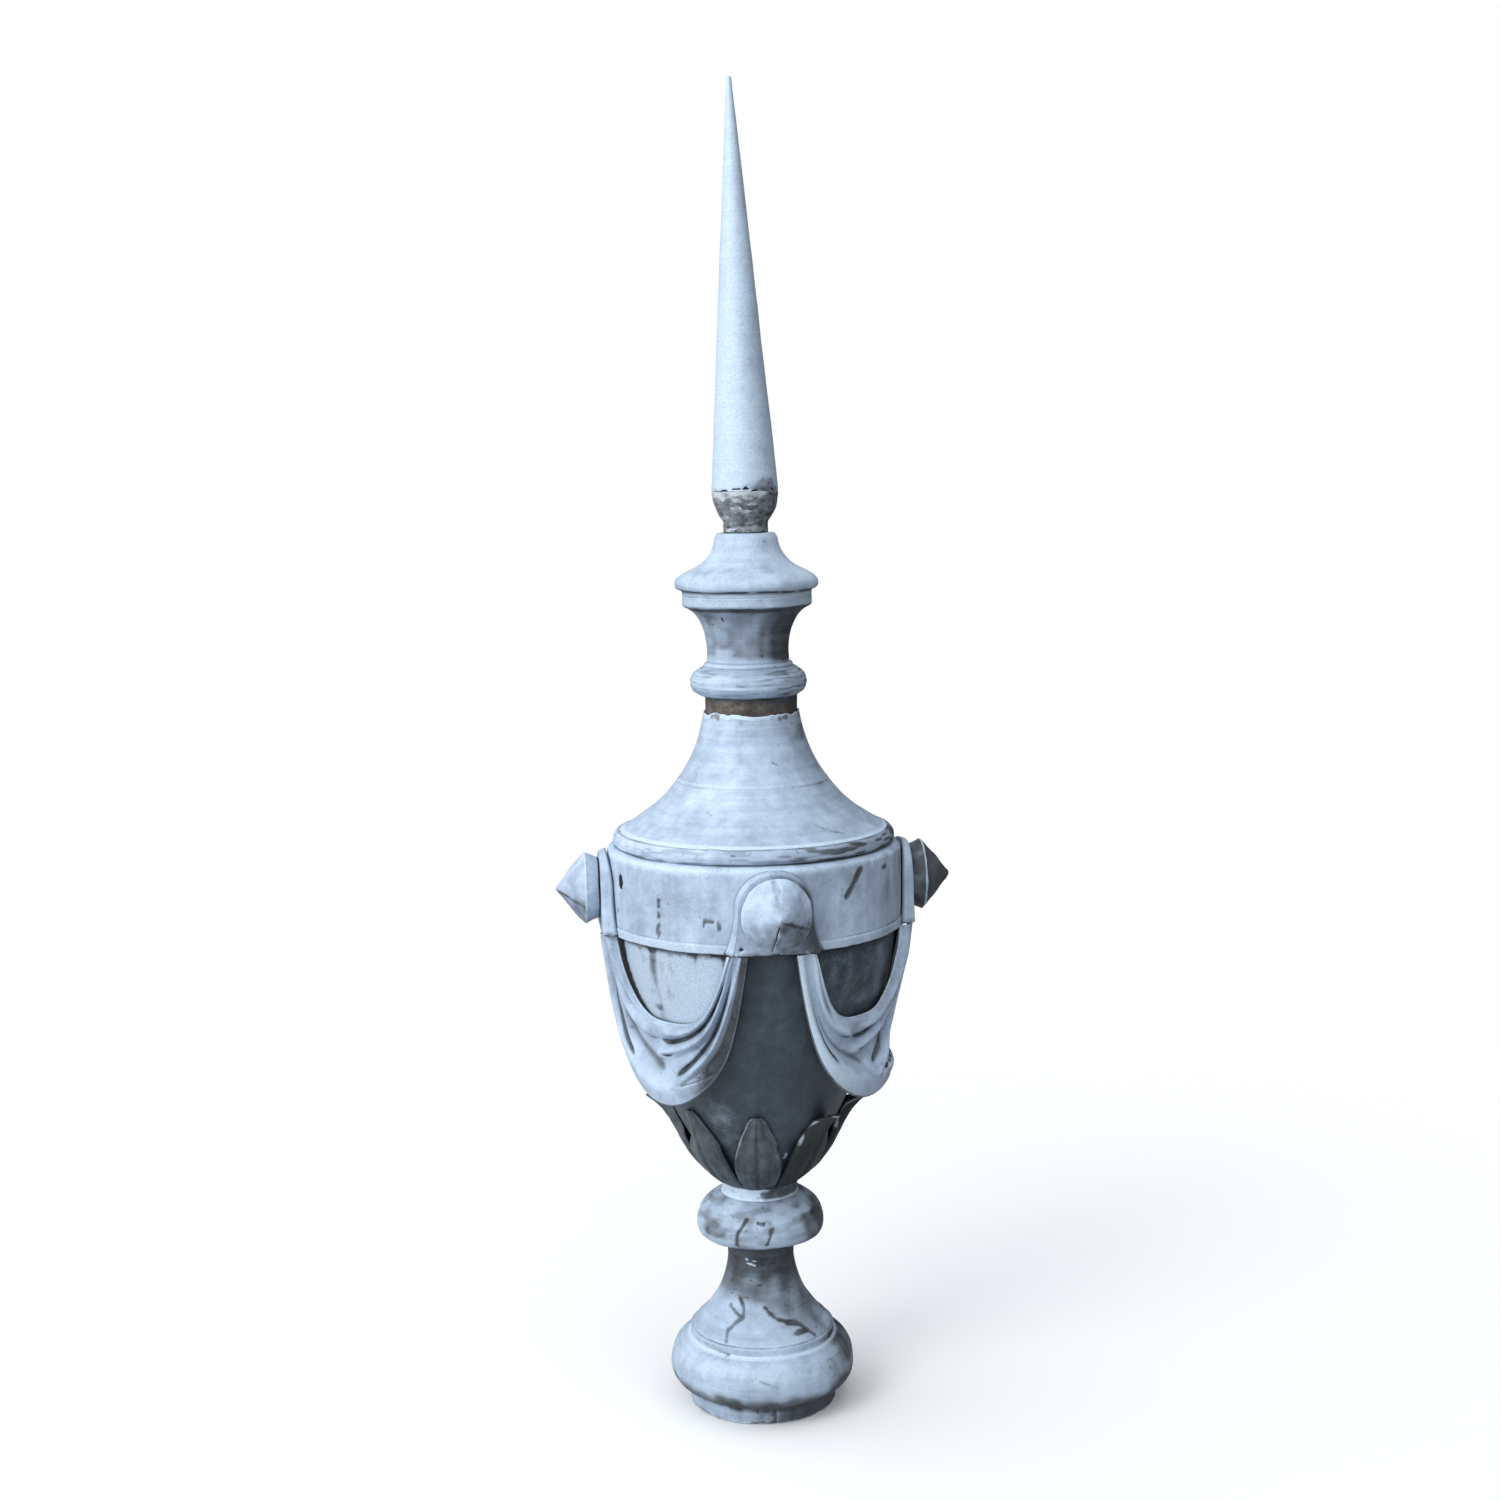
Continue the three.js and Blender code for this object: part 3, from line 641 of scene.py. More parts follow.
def makeBowl():
    c = bowlLine
    outline = [tuple(point) for point in bowlPoints]

    def shape(skin):
        return dinged(skin, 70.0, 0.7, 61) + 1.6 * patch(skin, *c["blob"], 5, 5, 62)

    def paint(skin):
        sweep = awayFrom(skin.bearing, c["palePanel"]) / swagLine["upperReach"]
        edge = swagEdges(np.clip(sweep, -1, 1))[0]
        inside = ease(skin.height - edge, -6.0, 2.0) * (np.abs(sweep) < 1.05)
        runs = drips(skin, c["runsFrom"], 150, 18.0, 63)
        stain = 0.5 * runs + 0.5 * cloud(skin.points * [1, 1, 0.35], 22.0, 64)
        stain = stain + 0.3 * ease(cloud(skin.points, 12.0, 60), 0.1, 0.6)
        shade = bell(skin.height - edge, 12.0) * ease(-sweep, 0.2, 0.9)
        panel = inside * np.clip(1.05 - stain - 0.6 * shade - 0.5 * ease(sweep, 0.55, 1.0), 0, 1)
        panel = panel + 0.35 * inside * band(skin, *c["tideMark"], 3) * strokes(skin, 30.0, 3.0, 65)
        rear = 0.55 * side(skin, 134, 24, 6.0) * drips(skin, c["runsFrom"], 160, 30.0, 66)
        rear = rear * (skin.height > c["rearFrom"])
        across = np.radians(awayFrom(skin.bearing, c["drip"][0])) * skin.reach
        trail = 0.42 * bell(across, 30.0) * bell(skin.height - c["drip"][1], 48.0)
        trail = trail * (1.0 + 0.4 * cloud(skin.points * [1, 1, 0.3], 14.0, 67))
        rightPanel = 0.34 * side(skin, 43, 27, 5) * ease(skin.height, *c["rightFrom"])
        rightPanel = rightPanel * (0.8 + 0.4 * cloud(skin.points * [1, 1, 0.25], 20.0, 70))
        # painted shade, darker low down and towards the right, over cloudy patina
        low = 1.0 - ease(skin.height, *c["lowShadeUpTo"])
        lowRightShade = 0.25 * low + 0.3 * cloud(skin.points * [1, 1, 0.3], 60.0, 69)
        lowRightShade = lowRightShade + 0.3 * rightHand(skin, 5, 60) * low
        # a painted shadow just under the drum
        under = 0.7 * (1.0 - ease(c["over"][-1][1] - skin.height, 2.0, 14.0))
        pale = panel + rightPanel - under + rear + trail + 0.8 * patch(skin, *c["blob"], 3.5, 9, 62)
        return {"darkPatina": lowRightShade + under, "paleBloom": pale}

    piece = turnPiece("urn_bowl_zinc", outline, 256, shape, paint, step=5.4, seams=(0.6, 1.0))
    finishPiece(piece, "urn_bowl", bowlZinc)


drumLook = {
    "base": 755, "lap": 223.4, "lapTop": 768, "radius": 222, "shoulder": (222, 870),
    "rollOver": [(222, 878), (210, 880)], "hole": (-69.7, 840, 8.6, 12), "paleTop": (866, 880),
    "runsFrom": 878, "paleRunsFrom": 876,
    "patches": [(-45.7, 826, 5, 6), (-46.1, 781, 5, 10), (-45.6, 803, 3, 20), (-23.5, 803, 10, 5),
                (-20.5, 795, 4, 10), (-26, 797, 3, 6), (-72, 796, 3, 4), (52, 858, 9, 4)],
    "gash": [[(29.6, 829), (31, 835), (33, 846), (34.6, 855), (36.8, 864)]],
}


def makeDrum():
    c = drumLook
    outline = [(c["lap"] - 2, c["base"]), (c["lap"], c["base"] + 1), (c["lap"], c["lapTop"])]
    outline += [(c["radius"], c["lapTop"] + 0.6), c["shoulder"], *bend(c["shoulder"], *c["rollOver"])]

    def hole(skin):
        bearing, height, wide, tall = c["hole"]
        across = np.radians(awayFrom(skin.bearing, bearing)) * skin.reach
        return 1.0 - ease(np.hypot(across / wide, (skin.height - height) / tall), 0.75, 1.15)

    def shape(skin):
        lump = patch(skin, *c["patches"][3], 71)
        gash = cracks(skin, c["gash"], 6.5, 72)
        return dinged(skin, 60.0, 0.9, 73) - 4.0 * hole(skin) - 0.8 * lump - gash

    def paint(skin):
        spots = patches(skin, c["patches"], 74, 0.6)
        # painted shade on the right-hand side
        right = rightHand(skin, 15, 80)
        runs = drips(skin, c["runsFrom"], 130, 13.0, 84) * (0.12 + 0.5 * rightHand(skin, 45, 80))
        lap = band(skin, c["base"] + 1, c["lapTop"], 1.5)
        dirtAndShade = 0.06 + 0.62 * spots + 0.7 * cracks(skin, c["gash"], 8.0, 72) + 0.27 * right + 0.6 * runs
        # a painted shadow under the edge of the lap
        dirtAndShade = dirtAndShade + 0.3 * band(skin, c["lapTop"] + 0.2, c["lapTop"] + 2.5, 0.8)
        dirtAndShade = dirtAndShade + 0.14 * cloud(skin.points, 40.0, 85) + 0.1 * cloud(skin.points * [1, 1, 0.4], 14.0, 86)
        # painted light on the left-hand side
        pale = 0.4 * lap + 0.45 * band(skin, *c["paleTop"], 4) + 0.12 * side(skin, -50, 60, 30)
        pale = pale + 0.9 * drips(skin, c["paleRunsFrom"], 70, 9.0, 87) * rightHand(skin, 30, 60)
        pale = pale - 0.7 * spots - 0.4 * right
        return {"darkPatina": dirtAndShade - 0.12 * lap, "paleBloom": pale, "openGap": hole(skin)}

    piece = turnPiece("urn_drum_zinc", outline, 400, shape, paint, step=2.8, seams=(0.7, 0.4),
                      hollowShade=0.3)
    finishPiece(piece, "urn_drum", sheetZinc)


rimBead = {"base": (207, 880), "roll": [(215, 884), (213, 897), (205, 902)]}


def makeRimBead():
    c = rimBead
    outline = [c["base"], *bend(c["base"], *c["roll"])]

    def shape(skin):
        return dinged(skin, 30.0, 0.6, 91) + 0.5 * cloud(skin.points * [0.3, 0.3, 6], 18.0, 92)

    def paint(skin):
        # painted shade on the right-hand side
        right = rightHand(skin, -30, 65)
        lines = strokes(skin, 20.0, 6.0, 93, -0.1, 0.5)
        dirtAndShade = 0.16 + 0.26 * right * lines + 0.26 * right + 0.2 * lines
        # a painted shadow where the bead meets the drum
        dirtAndShade = dirtAndShade + 0.2 * band(skin, c["base"][1], c["base"][1] + 4, 2)
        # painted light on the left-hand side
        return {"darkPatina": dirtAndShade, "paleBloom": 0.5 * side(skin, -75, 50, 35) * (1.0 - 0.5 * lines)}

    piece = turnPiece("rim_bead_zinc", outline, 320, shape, paint, step=1.4, seams=(0.9, 0.45))
    finishPiece(piece, "rim_bead", spunZinc)


lidLook = {
    "rim": (202, 902), "bell": [(134, 936), (80, 1003), (72, 1079)], "wall": 2.0, "inside": 1071,
    "torn": 4.5, "ring": 977, "tornFrom": (1060, 1078), "stained": (1064, 1074), "bareEdge": (1068, 1079),
    "darkFrom": (980, 1060), "paleAbove": 1072,
    "nicks": [[(26, 925), (34, 915), (38, 912)], [(-35, 945), (-30, 940)], [(12, 1010), (18, 1006)]],
}


def makeLid():
    c = lidLook
    edge, height = c["bell"][-1]
    outline = [c["rim"], *bend(c["rim"], *c["bell"])]
    outline += [(edge - c["wall"], height), (edge - c["wall"], c["inside"])]

    def torn(bearing):
        ring = around(bearing, edge, 0.0 * bearing)
        return c["torn"] * (0.8 * cloud(ring, 26.0, 101) + 0.7 * cloud(ring, 8.0, 102))

    def shape(skin):
        line = 0.7 * band(skin, c["ring"] - 1.2, c["ring"] + 1.2, 1.2)
        return dinged(skin, 52.0, 1.0, 103) + line - 0.8 * cracks(skin, c["nicks"], 2.2, 104)

    def place(points):
        bearing = np.degrees(np.arctan2(points[:, 0], -points[:, 1]))
        lift = ease(points[:, 2], *c["tornFrom"]) * torn(bearing)
        return points + np.stack([0 * lift, 0 * lift, lift], axis=-1)

    def paint(skin):
        # painted shade on the right-hand side, deeper towards the top
        right = rightHand(skin, 0, 70)
        lines = strokes(skin, 26.0, 4.0, 105, -0.1, 0.6)
        dirtAndShade = 0.02 + right * (0.04 + 0.14 * lines) + 0.1 * cloud(skin.points, 45.0, 106) + 0.08 * lines
        dirtAndShade = dirtAndShade + 0.5 * cracks(skin, c["nicks"], 2.4, 104)
        dirtAndShade = dirtAndShade + 0.3 * right * ease(skin.height, *c["darkFrom"])
        dirtAndShade = dirtAndShade + 0.3 * band(skin, *c["stained"], 4) * ease(cloud(skin.points, 12.0, 107), 0.1, 0.5)
        # painted light on the left-hand side
        pale = 0.25 * side(skin, -60, 60, 35) + 0.5 * (skin.height > c["paleAbove"]) * (1.0 - right)
        # a painted highlight along the rim
        pale = pale + 0.7 * band(skin, c["rim"][1], c["rim"][1] + 4, 1.2)
        # a painted highlight above the raised ring and a painted shadow below it
        pale = pale + 0.3 * band(skin, c["ring"], c["ring"] + 2.5, 0.8)
        dirtAndShade = dirtAndShade + 0.3 * band(skin, c["ring"] - 3.5, c["ring"] - 1.0, 0.8)
        bare = 0.55 * band(skin, *c["bareEdge"], 3) * ease(cloud(skin.points, 10.0, 108), 0.15, 0.5)
        return {"darkPatina": dirtAndShade, "paleBloom": pale, "bareMetal": bare}

    piece = turnPiece("urn_lid_zinc", outline, 256, shape, paint, place, seams=(0.1, 0.0))
    finishPiece(piece, "urn_lid", spunZinc)


sleeveLine = {
    "radius": 69, "foot": 1071.5, "base": 1079, "top": 1103,
    "shaded": (1094, 1104), "tan": (-40, 1089, 26, 9),
}


def makeSleeve():
    c = sleeveLine
    outline = [(c["radius"] - 0.6, c["foot"]), (c["radius"], c["base"]), (c["radius"], c["top"])]

    def shape(skin):
        return dinged(skin, 18.0, 0.5, 111)

    def paint(skin):
        # painted shade in blotches on the right-hand side
        grey = rightHand(skin, -15, 40) * ease(cloud(skin.points, 16.0, 112), -0.6, 0.1)
        tan = patch(skin, *c["tan"], 113)
        dirtAndShade = 0.6 * band(skin, *c["shaded"], 4) + 0.3 * grey + 0.2 * cloud(skin.points, 12.0, 114)
        return {"darkPatina": dirtAndShade, "bareMetal": 0.35 + 0.5 * tan - 0.4 * grey}

    piece = turnPiece("neck_sleeve_brown", outline, 224, shape, paint, step=1.8, seams=(0.5, 1.0))
    finishPiece(piece, "neck_sleeve", bareSleeve)


makeBowl()
makeDrum()
makeRimBead()
makeLid()
makeSleeve()
print("urn turned")


# Neck, cap, knob and spire; these have settled a little to one side, and the spire leans that way
lean = {"towards": 173, "shift": 3.5, "angle": 1.25}    # towards counts from +X, turning to +Y
leanTurn = math.radians(lean["towards"])
leanSide = np.array([math.cos(leanTurn), math.sin(leanTurn), 0.0])


def settled(points):
    return points + lean["shift"] * leanSide


neckLook = {
    "base": (73, 1103), "torusUnder": [(87, 1110), (87, 1123)], "torusOver": [(87, 1138), (67, 1146)],
    "fillet": [(66.5, 1150.5), (61.5, 1153)], "throat": (60.8, 1167),
    "throatOver": [(61, 1196), (70, 1226), (93, 1235)], "collarEdge": [(95.5, 1237), (96.5, 1239)],
    "top": 1252, "torusPart": (1104, 1147), "throatPart": (1158, 1236), "collarPart": (1239, 1249),
    "underCollar": (1231, 1237), "pit": (-36, 1220, 2.5, 4), "torusLines": (1106, 1146),
}


def makeNeck():
    c = neckLook
    outline = [c["base"], *bend(c["base"], *c["torusUnder"])]
    outline += [*bend(c["torusUnder"][-1], *c["torusOver"]), *c["fillet"], c["throat"]]
    outline += [*bend(c["throat"], *c["throatOver"]), *c["collarEdge"], (c["collarEdge"][-1][0], c["top"])]

    def shape(skin):
        lines = 0.8 * cloud(skin.points * [0.3, 0.3, 4], 16.0, 121) * band(skin, *c["torusLines"], 4)
        return dinged(skin, 30.0, 0.6, 122) + lines

    def paint(skin):
        # painted shade on the right-hand side; dirt and painted shade in the throat
        right = rightHand(skin, 0, 65)
        lines = strokes(skin, 22.0, 12.0, 123, -0.1, 0.6) * band(skin, *c["torusPart"], 4)
        throat = band(skin, *c["throatPart"], 8)
        upright = cloud(skin.points * [1, 1, 0.12], 11.0, 124)
        grey = 0.3 + 0.1 * rightHand(skin, -60, 0) + 0.48 * right + 0.08 * upright
        dirtAndShade = 0.08 + 0.36 * lines + throat * grey + 0.2 * right + 0.12 * cloud(skin.points, 14.0, 125)
        dirtAndShade = dirtAndShade + 0.1 * throat * strokes(skin, 18.0, 2.0, 126, 0.1, 0.8)
        # a pit, and a painted shadow just under the collar
        dirtAndShade = dirtAndShade + 0.5 * patch(skin, *c["pit"], 127) + 0.45 * band(skin, *c["underCollar"], 1.5)
        collar = band(skin, *c["collarPart"], 2)
        # painted light on the left-hand side
        pale = 0.3 * collar * (1.0 - 0.6 * right) + 0.2 * side(skin, -60, 60, 30) * (1.0 - throat)
        return {"darkPatina": dirtAndShade - 0.12 * collar, "paleBloom": pale, "bareMetal": 0.08 * throat}

    piece = turnPiece("neck_moulding_zinc", outline, 224, shape, paint, settled, 2.4, seams=(0.6, 0.2))
    finishPiece(piece, "neck_moulding", spunZinc)


capLook = {
    "ring": 96.8, "base": 1252, "ringTop": 1258.5, "lip": (101.5, 1261),
    "under": [(107, 1262), (107, 1269)], "shoulder": [(107, 1283), (84, 1287), (71, 1297)],
    "throat": [(57, 1306), (51, 1318), (48, 1332)], "edge": (47, 1338), "top": (43, 1344),
    "underLip": (1258.5, 1262), "ringPart": (1252, 1258), "stains": [(50, 1268, 5, 3), (32, 1325, 12, 14)],
}


def makeCap():
    c = capLook
    outline = [(c["ring"], c["base"]), (c["ring"], c["ringTop"]), c["lip"]]
    outline += bend(c["lip"], *c["under"])
    outline += bend(c["under"][-1], *c["shoulder"])
    outline += bend(c["shoulder"][-1], *c["throat"])
    outline += [c["edge"], c["top"]]

    def shape(skin):
        return dinged(skin, 40.0, 1.0, 131)

    def paint(skin):
        # the right-hand side gets a trace of painted shade and more painted light
        right = rightHand(skin, 20, 80)
        # a painted shadow under the lip
        under = band(skin, *c["underLip"], 0.8) * ease(cloud(skin.points, 14.0, 132), -0.7, 0.0)
        worn = band(skin, *c["ringPart"], 1.0) * strokes(skin, 16.0, 5.0, 136)
        dirtAndShade = 0.02 + 0.7 * under + 0.04 * right + 0.12 * cloud(skin.points, 24.0, 133) + 0.4 * worn
        dirtAndShade = dirtAndShade + 0.35 * patch(skin, *c["stains"][0], 134) + 0.25 * patch(skin, *c["stains"][1], 135)
        # painted light round the front and on the right-hand side
        return {"darkPatina": dirtAndShade, "paleBloom": 0.36 * side(skin, -20, 110, 45) + 0.5 * right - under}

    piece = turnPiece("cap_zinc", outline, 224, shape, paint, settled, 1.8, seams=(0.2, 0.3))
    finishPiece(piece, "cap", spunZinc)


knobLine = {
    "pin": 33.5, "base": 1344, "pinTop": 1360, "bulb": [(38, 1367), (49.5, 1380), (49.5, 1405)],
    "dirtAndShadeUpTo": (1350, 1392), "paleFrom": (1388, 1402),
}


def makeKnob():
    c = knobLine
    foot = (c["pin"], c["pinTop"])
    outline = [(c["pin"], c["base"]), foot, *bend(foot, *c["bulb"])]

    def shape(skin):
        return dinged(skin, 16.0, 1.0, 141)

    def paint(skin):
        scuff = strokes(skin, 13.0, 2.5, 142, 0.1, 0.45) + 0.7 * strokes(skin, 6.0, 2.0, 143, 0.3, 0.6)
        low = 1.0 - ease(skin.height, *c["dirtAndShadeUpTo"])
        # painted shade on the right-hand side and low down
        dirtAndShade = 0.06 + 0.3 * rightHand(skin, -5, 60) + 0.26 * low
        dirtAndShade = dirtAndShade + 0.55 * cloud(skin.points * [1, 1, 2], 10.0, 144) + 0.45 * cloud(skin.points, 5.0, 145)
        # painted light on the top, except on the right-hand side
        top = ease(skin.height + 6.0 * cloud(skin.points, 8.0, 147), *c["paleFrom"])
        top = top * (1 - rightHand(skin, 10, 50))
        # painted light on the scuffs of the left-hand side
        return {"darkPatina": dirtAndShade, "paleBloom": 0.5 * scuff * side(skin, -45, 80, 30) + 0.6 * top,
                "bareMetal": 0.12 * ease(cloud(skin.points, 18.0, 146), 0.1, 0.6)}

    piece = turnPiece("spire_knob_mottled", outline, 224, shape, paint, settled, 1.5, seams=(1.0, 0.4))
    finishPiece(piece, "spire_knob", knobZinc)


# Tears at the cone's lower edge: bearing, height above the edge, half width and half height
coneLook = {
    "radius": 49.5, "tip": 4, "base": 1405, "top": 2000,
    "tears": [(-44, 1, 9, 1.6), (-24, 3, 9, 1.9), (-8, 4, 6, 1.7), (10, 1, 5, 1.5), (41, 7, 5, 2.4),
              (54, 2, 6, 2.2), (150, 3, 9, 2), (-130, 4, 7, 2)],
    "specks": [(-42.7, 1816, 3, 5), (-26.4, 1788, 4, 4)], "smudge": (30, 7, 26, 10),
    "tipFlat": 0.8, "dirtAndShadeUpTo": 260, "hem": 26.0, "edgeDirt": 9, "sunk": 14.0,
}
coneLift = 0.3 + coneLook["radius"] * math.sin(math.radians(lean["angle"]))


def makeCone():
    c = coneLook
    rise = c["top"] - c["base"] - coneLift
    shoulder = (c["tip"], rise - c["tip"])
    outline = [(c["radius"], 0), shoulder, *bend(shoulder, (c["tip"], rise), (c["tipFlat"], rise))]

    def tears(skin):
        return patches(skin, c["tears"], 151, 0.7)

    def shape(skin):
        hem = 1.0 - ease(skin.height, 0.0, c["hem"])
        uneven = dinged(skin, 60.0, 0.5, 152) * ease(c["radius"] - skin.reach, -1, 2)
        return uneven - 2.2 * tears(skin) + hem * (1.0 * cloud(skin.points, 9.0, 153) - 0.3)

    def paint(skin):
        right = rightHand(skin, 0, 75)
        low = 1.0 - ease(skin.height, 0, c["dirtAndShadeUpTo"])
        smudge = patch(skin, *c["smudge"], 154, 0.45)
        dots = np.clip(sum(patch(skin, b, h - c["base"], w, t, 155) for b, h, w, t in c["specks"]), 0, 1)
        # painted shade low on the right-hand side
        dirtAndShade = right * (0.02 + 0.08 * low) + 0.38 * smudge + 0.3 * dots
        dirtAndShade = dirtAndShade + 0.1 * cloud(skin.points * [1, 1, 0.2], 20.0, 156)
        dirtAndShade = dirtAndShade + 0.25 * (1.0 - ease(skin.height, 0, c["edgeDirt"]))
        # painted light on the left-hand side and, more weakly, on the right-hand side
        pale = 0.36 * side(skin, -60, 80, 40) + 0.3 + 0.25 * right - smudge
        # the tears hold painted shade
        return {"darkPatina": dirtAndShade, "paleBloom": pale, "openGap": tears(skin)}

    def place(points):                      # leans, and its lower edge settles on the knob's flat top
        axis = Vector((0, 0, 1)).cross(Vector(leanSide))
        turn = np.array(Matrix.Rotation(math.radians(lean["angle"]), 3, axis))
        leaning = points @ turn.T + [0, 0, c["base"] + coneLift]
        sunk = 1.0 - ease(points[:, 2], 0.0, c["sunk"])
        leaning[:, 2] = mix(leaning[:, 2], c["base"] + 0.1 + points[:, 2], sunk)
        return settled(leaning)

    piece = turnPiece("spire_cone_zinc", outline, 112, shape, paint, place, 2.2, seams=(0.4, 0.0))
    finishPiece(piece, "spire_cone", spunZinc)


makeNeck()
makeCap()
makeKnob()
makeCone()
print("neck, cap and spire turned")


# Four pointed bosses on arched plates
bossLook = {
    "height": 820, "back": (42, 236.3), "rimBack": (49.6, 254.6), "rim": (50.6, 256),
    "rimFront": (49.8, 257.4), "frontFrom": 257, "paintFrom": 256.5, "raysFrom": 258, "scratch": 30,
    "stretch": 1.06, "drop": 2.0, "apex": (2, 300), "split": 190, "fold": 114, "dent": (-2, 266, 6, 14),
    "shade": (0.0, 0.25, 0.12, -0.12),      # extra dirt and painted shade on the front, right, back and left boss; below 0 is painted light
}


def clockwise(skin):                        # counts the bearing clockwise, as seen from a boss's front
    return SimpleNamespace(**{**vars(skin), "bearing": -skin.bearing})


def makeBoss(index):
    c = bossLook
    outline = [c["back"], c["rimBack"], c["rim"], c["rimFront"], c["apex"]]

    def ray(skin, bearing, width):          # a line from the apex out to the rim
        wander = 1.1 * cloud(skin.points, 12.0, 161 + index)
        across = np.abs(np.radians(awayFrom(skin.bearing, bearing)) * skin.reach + wander)
        onFront = (skin.height > c["raysFrom"]) * ease(skin.reach, 3, 8)
        return (1.0 - ease(across, 0.3 * width, width)) * onFront

    def shape(skin):
        skin = clockwise(skin)
        front = skin.height > c["frontFrom"]
        dent = patch(skin, *c["dent"], 162 + index) * front
        pillow = 1.6 * front * bell((skin.reach - 30.0), 16.0)
        lines = 1.3 * ray(skin, c["split"], 2.2) + 0.5 * ray(skin, c["fold"], 3.5)
        return dinged(skin, 18.0, 1.2, 163 + index) + pillow - lines - 1.8 * dent

    def paint(skin):
        skin = clockwise(skin)
        front = (skin.height > c["paintFrom"]) * 1.0
        wobbly = SimpleNamespace(bearing=skin.bearing + 9.0 * cloud(skin.points, 9.0, 164 + index))
        # painted shade on the sectors of the cone that face away from the light, and over the whole right
        # boss
        rightward = side(wobbly, 88, 26, 8) * front
        lower = side(wobbly, 146, 40, 12) * front
        leftward = side(wobbly, -105, 95, 15) * front * (index == 1)
        leftLow = side(wobbly, 226, 36, 6) * front
        dent = patch(skin, *c["dent"], 162 + index) * front
        dirtAndShade = 0.2 * rightward + 0.52 * lower + 0.22 * leftLow + 0.8 * leftward + c["shade"][index]
        dirtAndShade = dirtAndShade + 0.3 * dent
        # cloudy dirt, and painted shade along the fold
        dirtAndShade = dirtAndShade + 0.2 * cloud(skin.points, 11.0, 165 + index) + 0.2 * ray(skin, c["fold"], 3.0)
        # painted shade on the neck behind the rim
        dirtAndShade = dirtAndShade + (0.2 + 0.3 * (index == 1)) * (1.0 - front)
        dirtAndShade = dirtAndShade + 0.2 * ray(skin, c["scratch"], 2.4) * (skin.reach < 24)
        # a painted highlight on the lip of the split, painted shade in the split, painted light on the
        # left-hand side
        lip = ray(skin, c["split"] - 5, 3.0)
        return {"darkPatina": dirtAndShade, "openGap": 0.8 * ray(skin, c["split"], 1.7) * (skin.reach > 8),
                "paleBloom": 0.34 * side(skin, -35, 70, 30) * front + 0.6 * lip - 0.8 * dirtAndShade}

    def place(points):                      # the boss's axis turns to the front
        x, y, z = points.T
        turn = np.array(Matrix.Rotation(index * math.pi / 2, 3, "Z"))
        return np.stack([-x, -z, -y * c["stretch"] + c["height"] - c["drop"]], axis=-1) @ turn.T

    piece = turnPiece(f"boss_{index + 1}_zinc", outline, 144, shape, paint, place, 2.0, 0.8,
                      seams=(1.2, 0.5))
    finishPiece(piece, f"boss_{index + 1}", sheetZinc)


plateLook = {
    "arch": 57, "face": 52.5, "foot": 72, "faceFoot": 61, "base": 757, "top": 876, "edge": 1.5,
    "seat": 224.4, "front": 236, "rows": 60, "slopeSteps": 10, "faceSteps": 40, "pinhole": (-49, 766, 4.2),
    "shadow": (47, 58),
    "darkRight": (1.0, 1.0, 0.6, 0.1),      # painted shadow at the right of the front, right, back and left plate
}


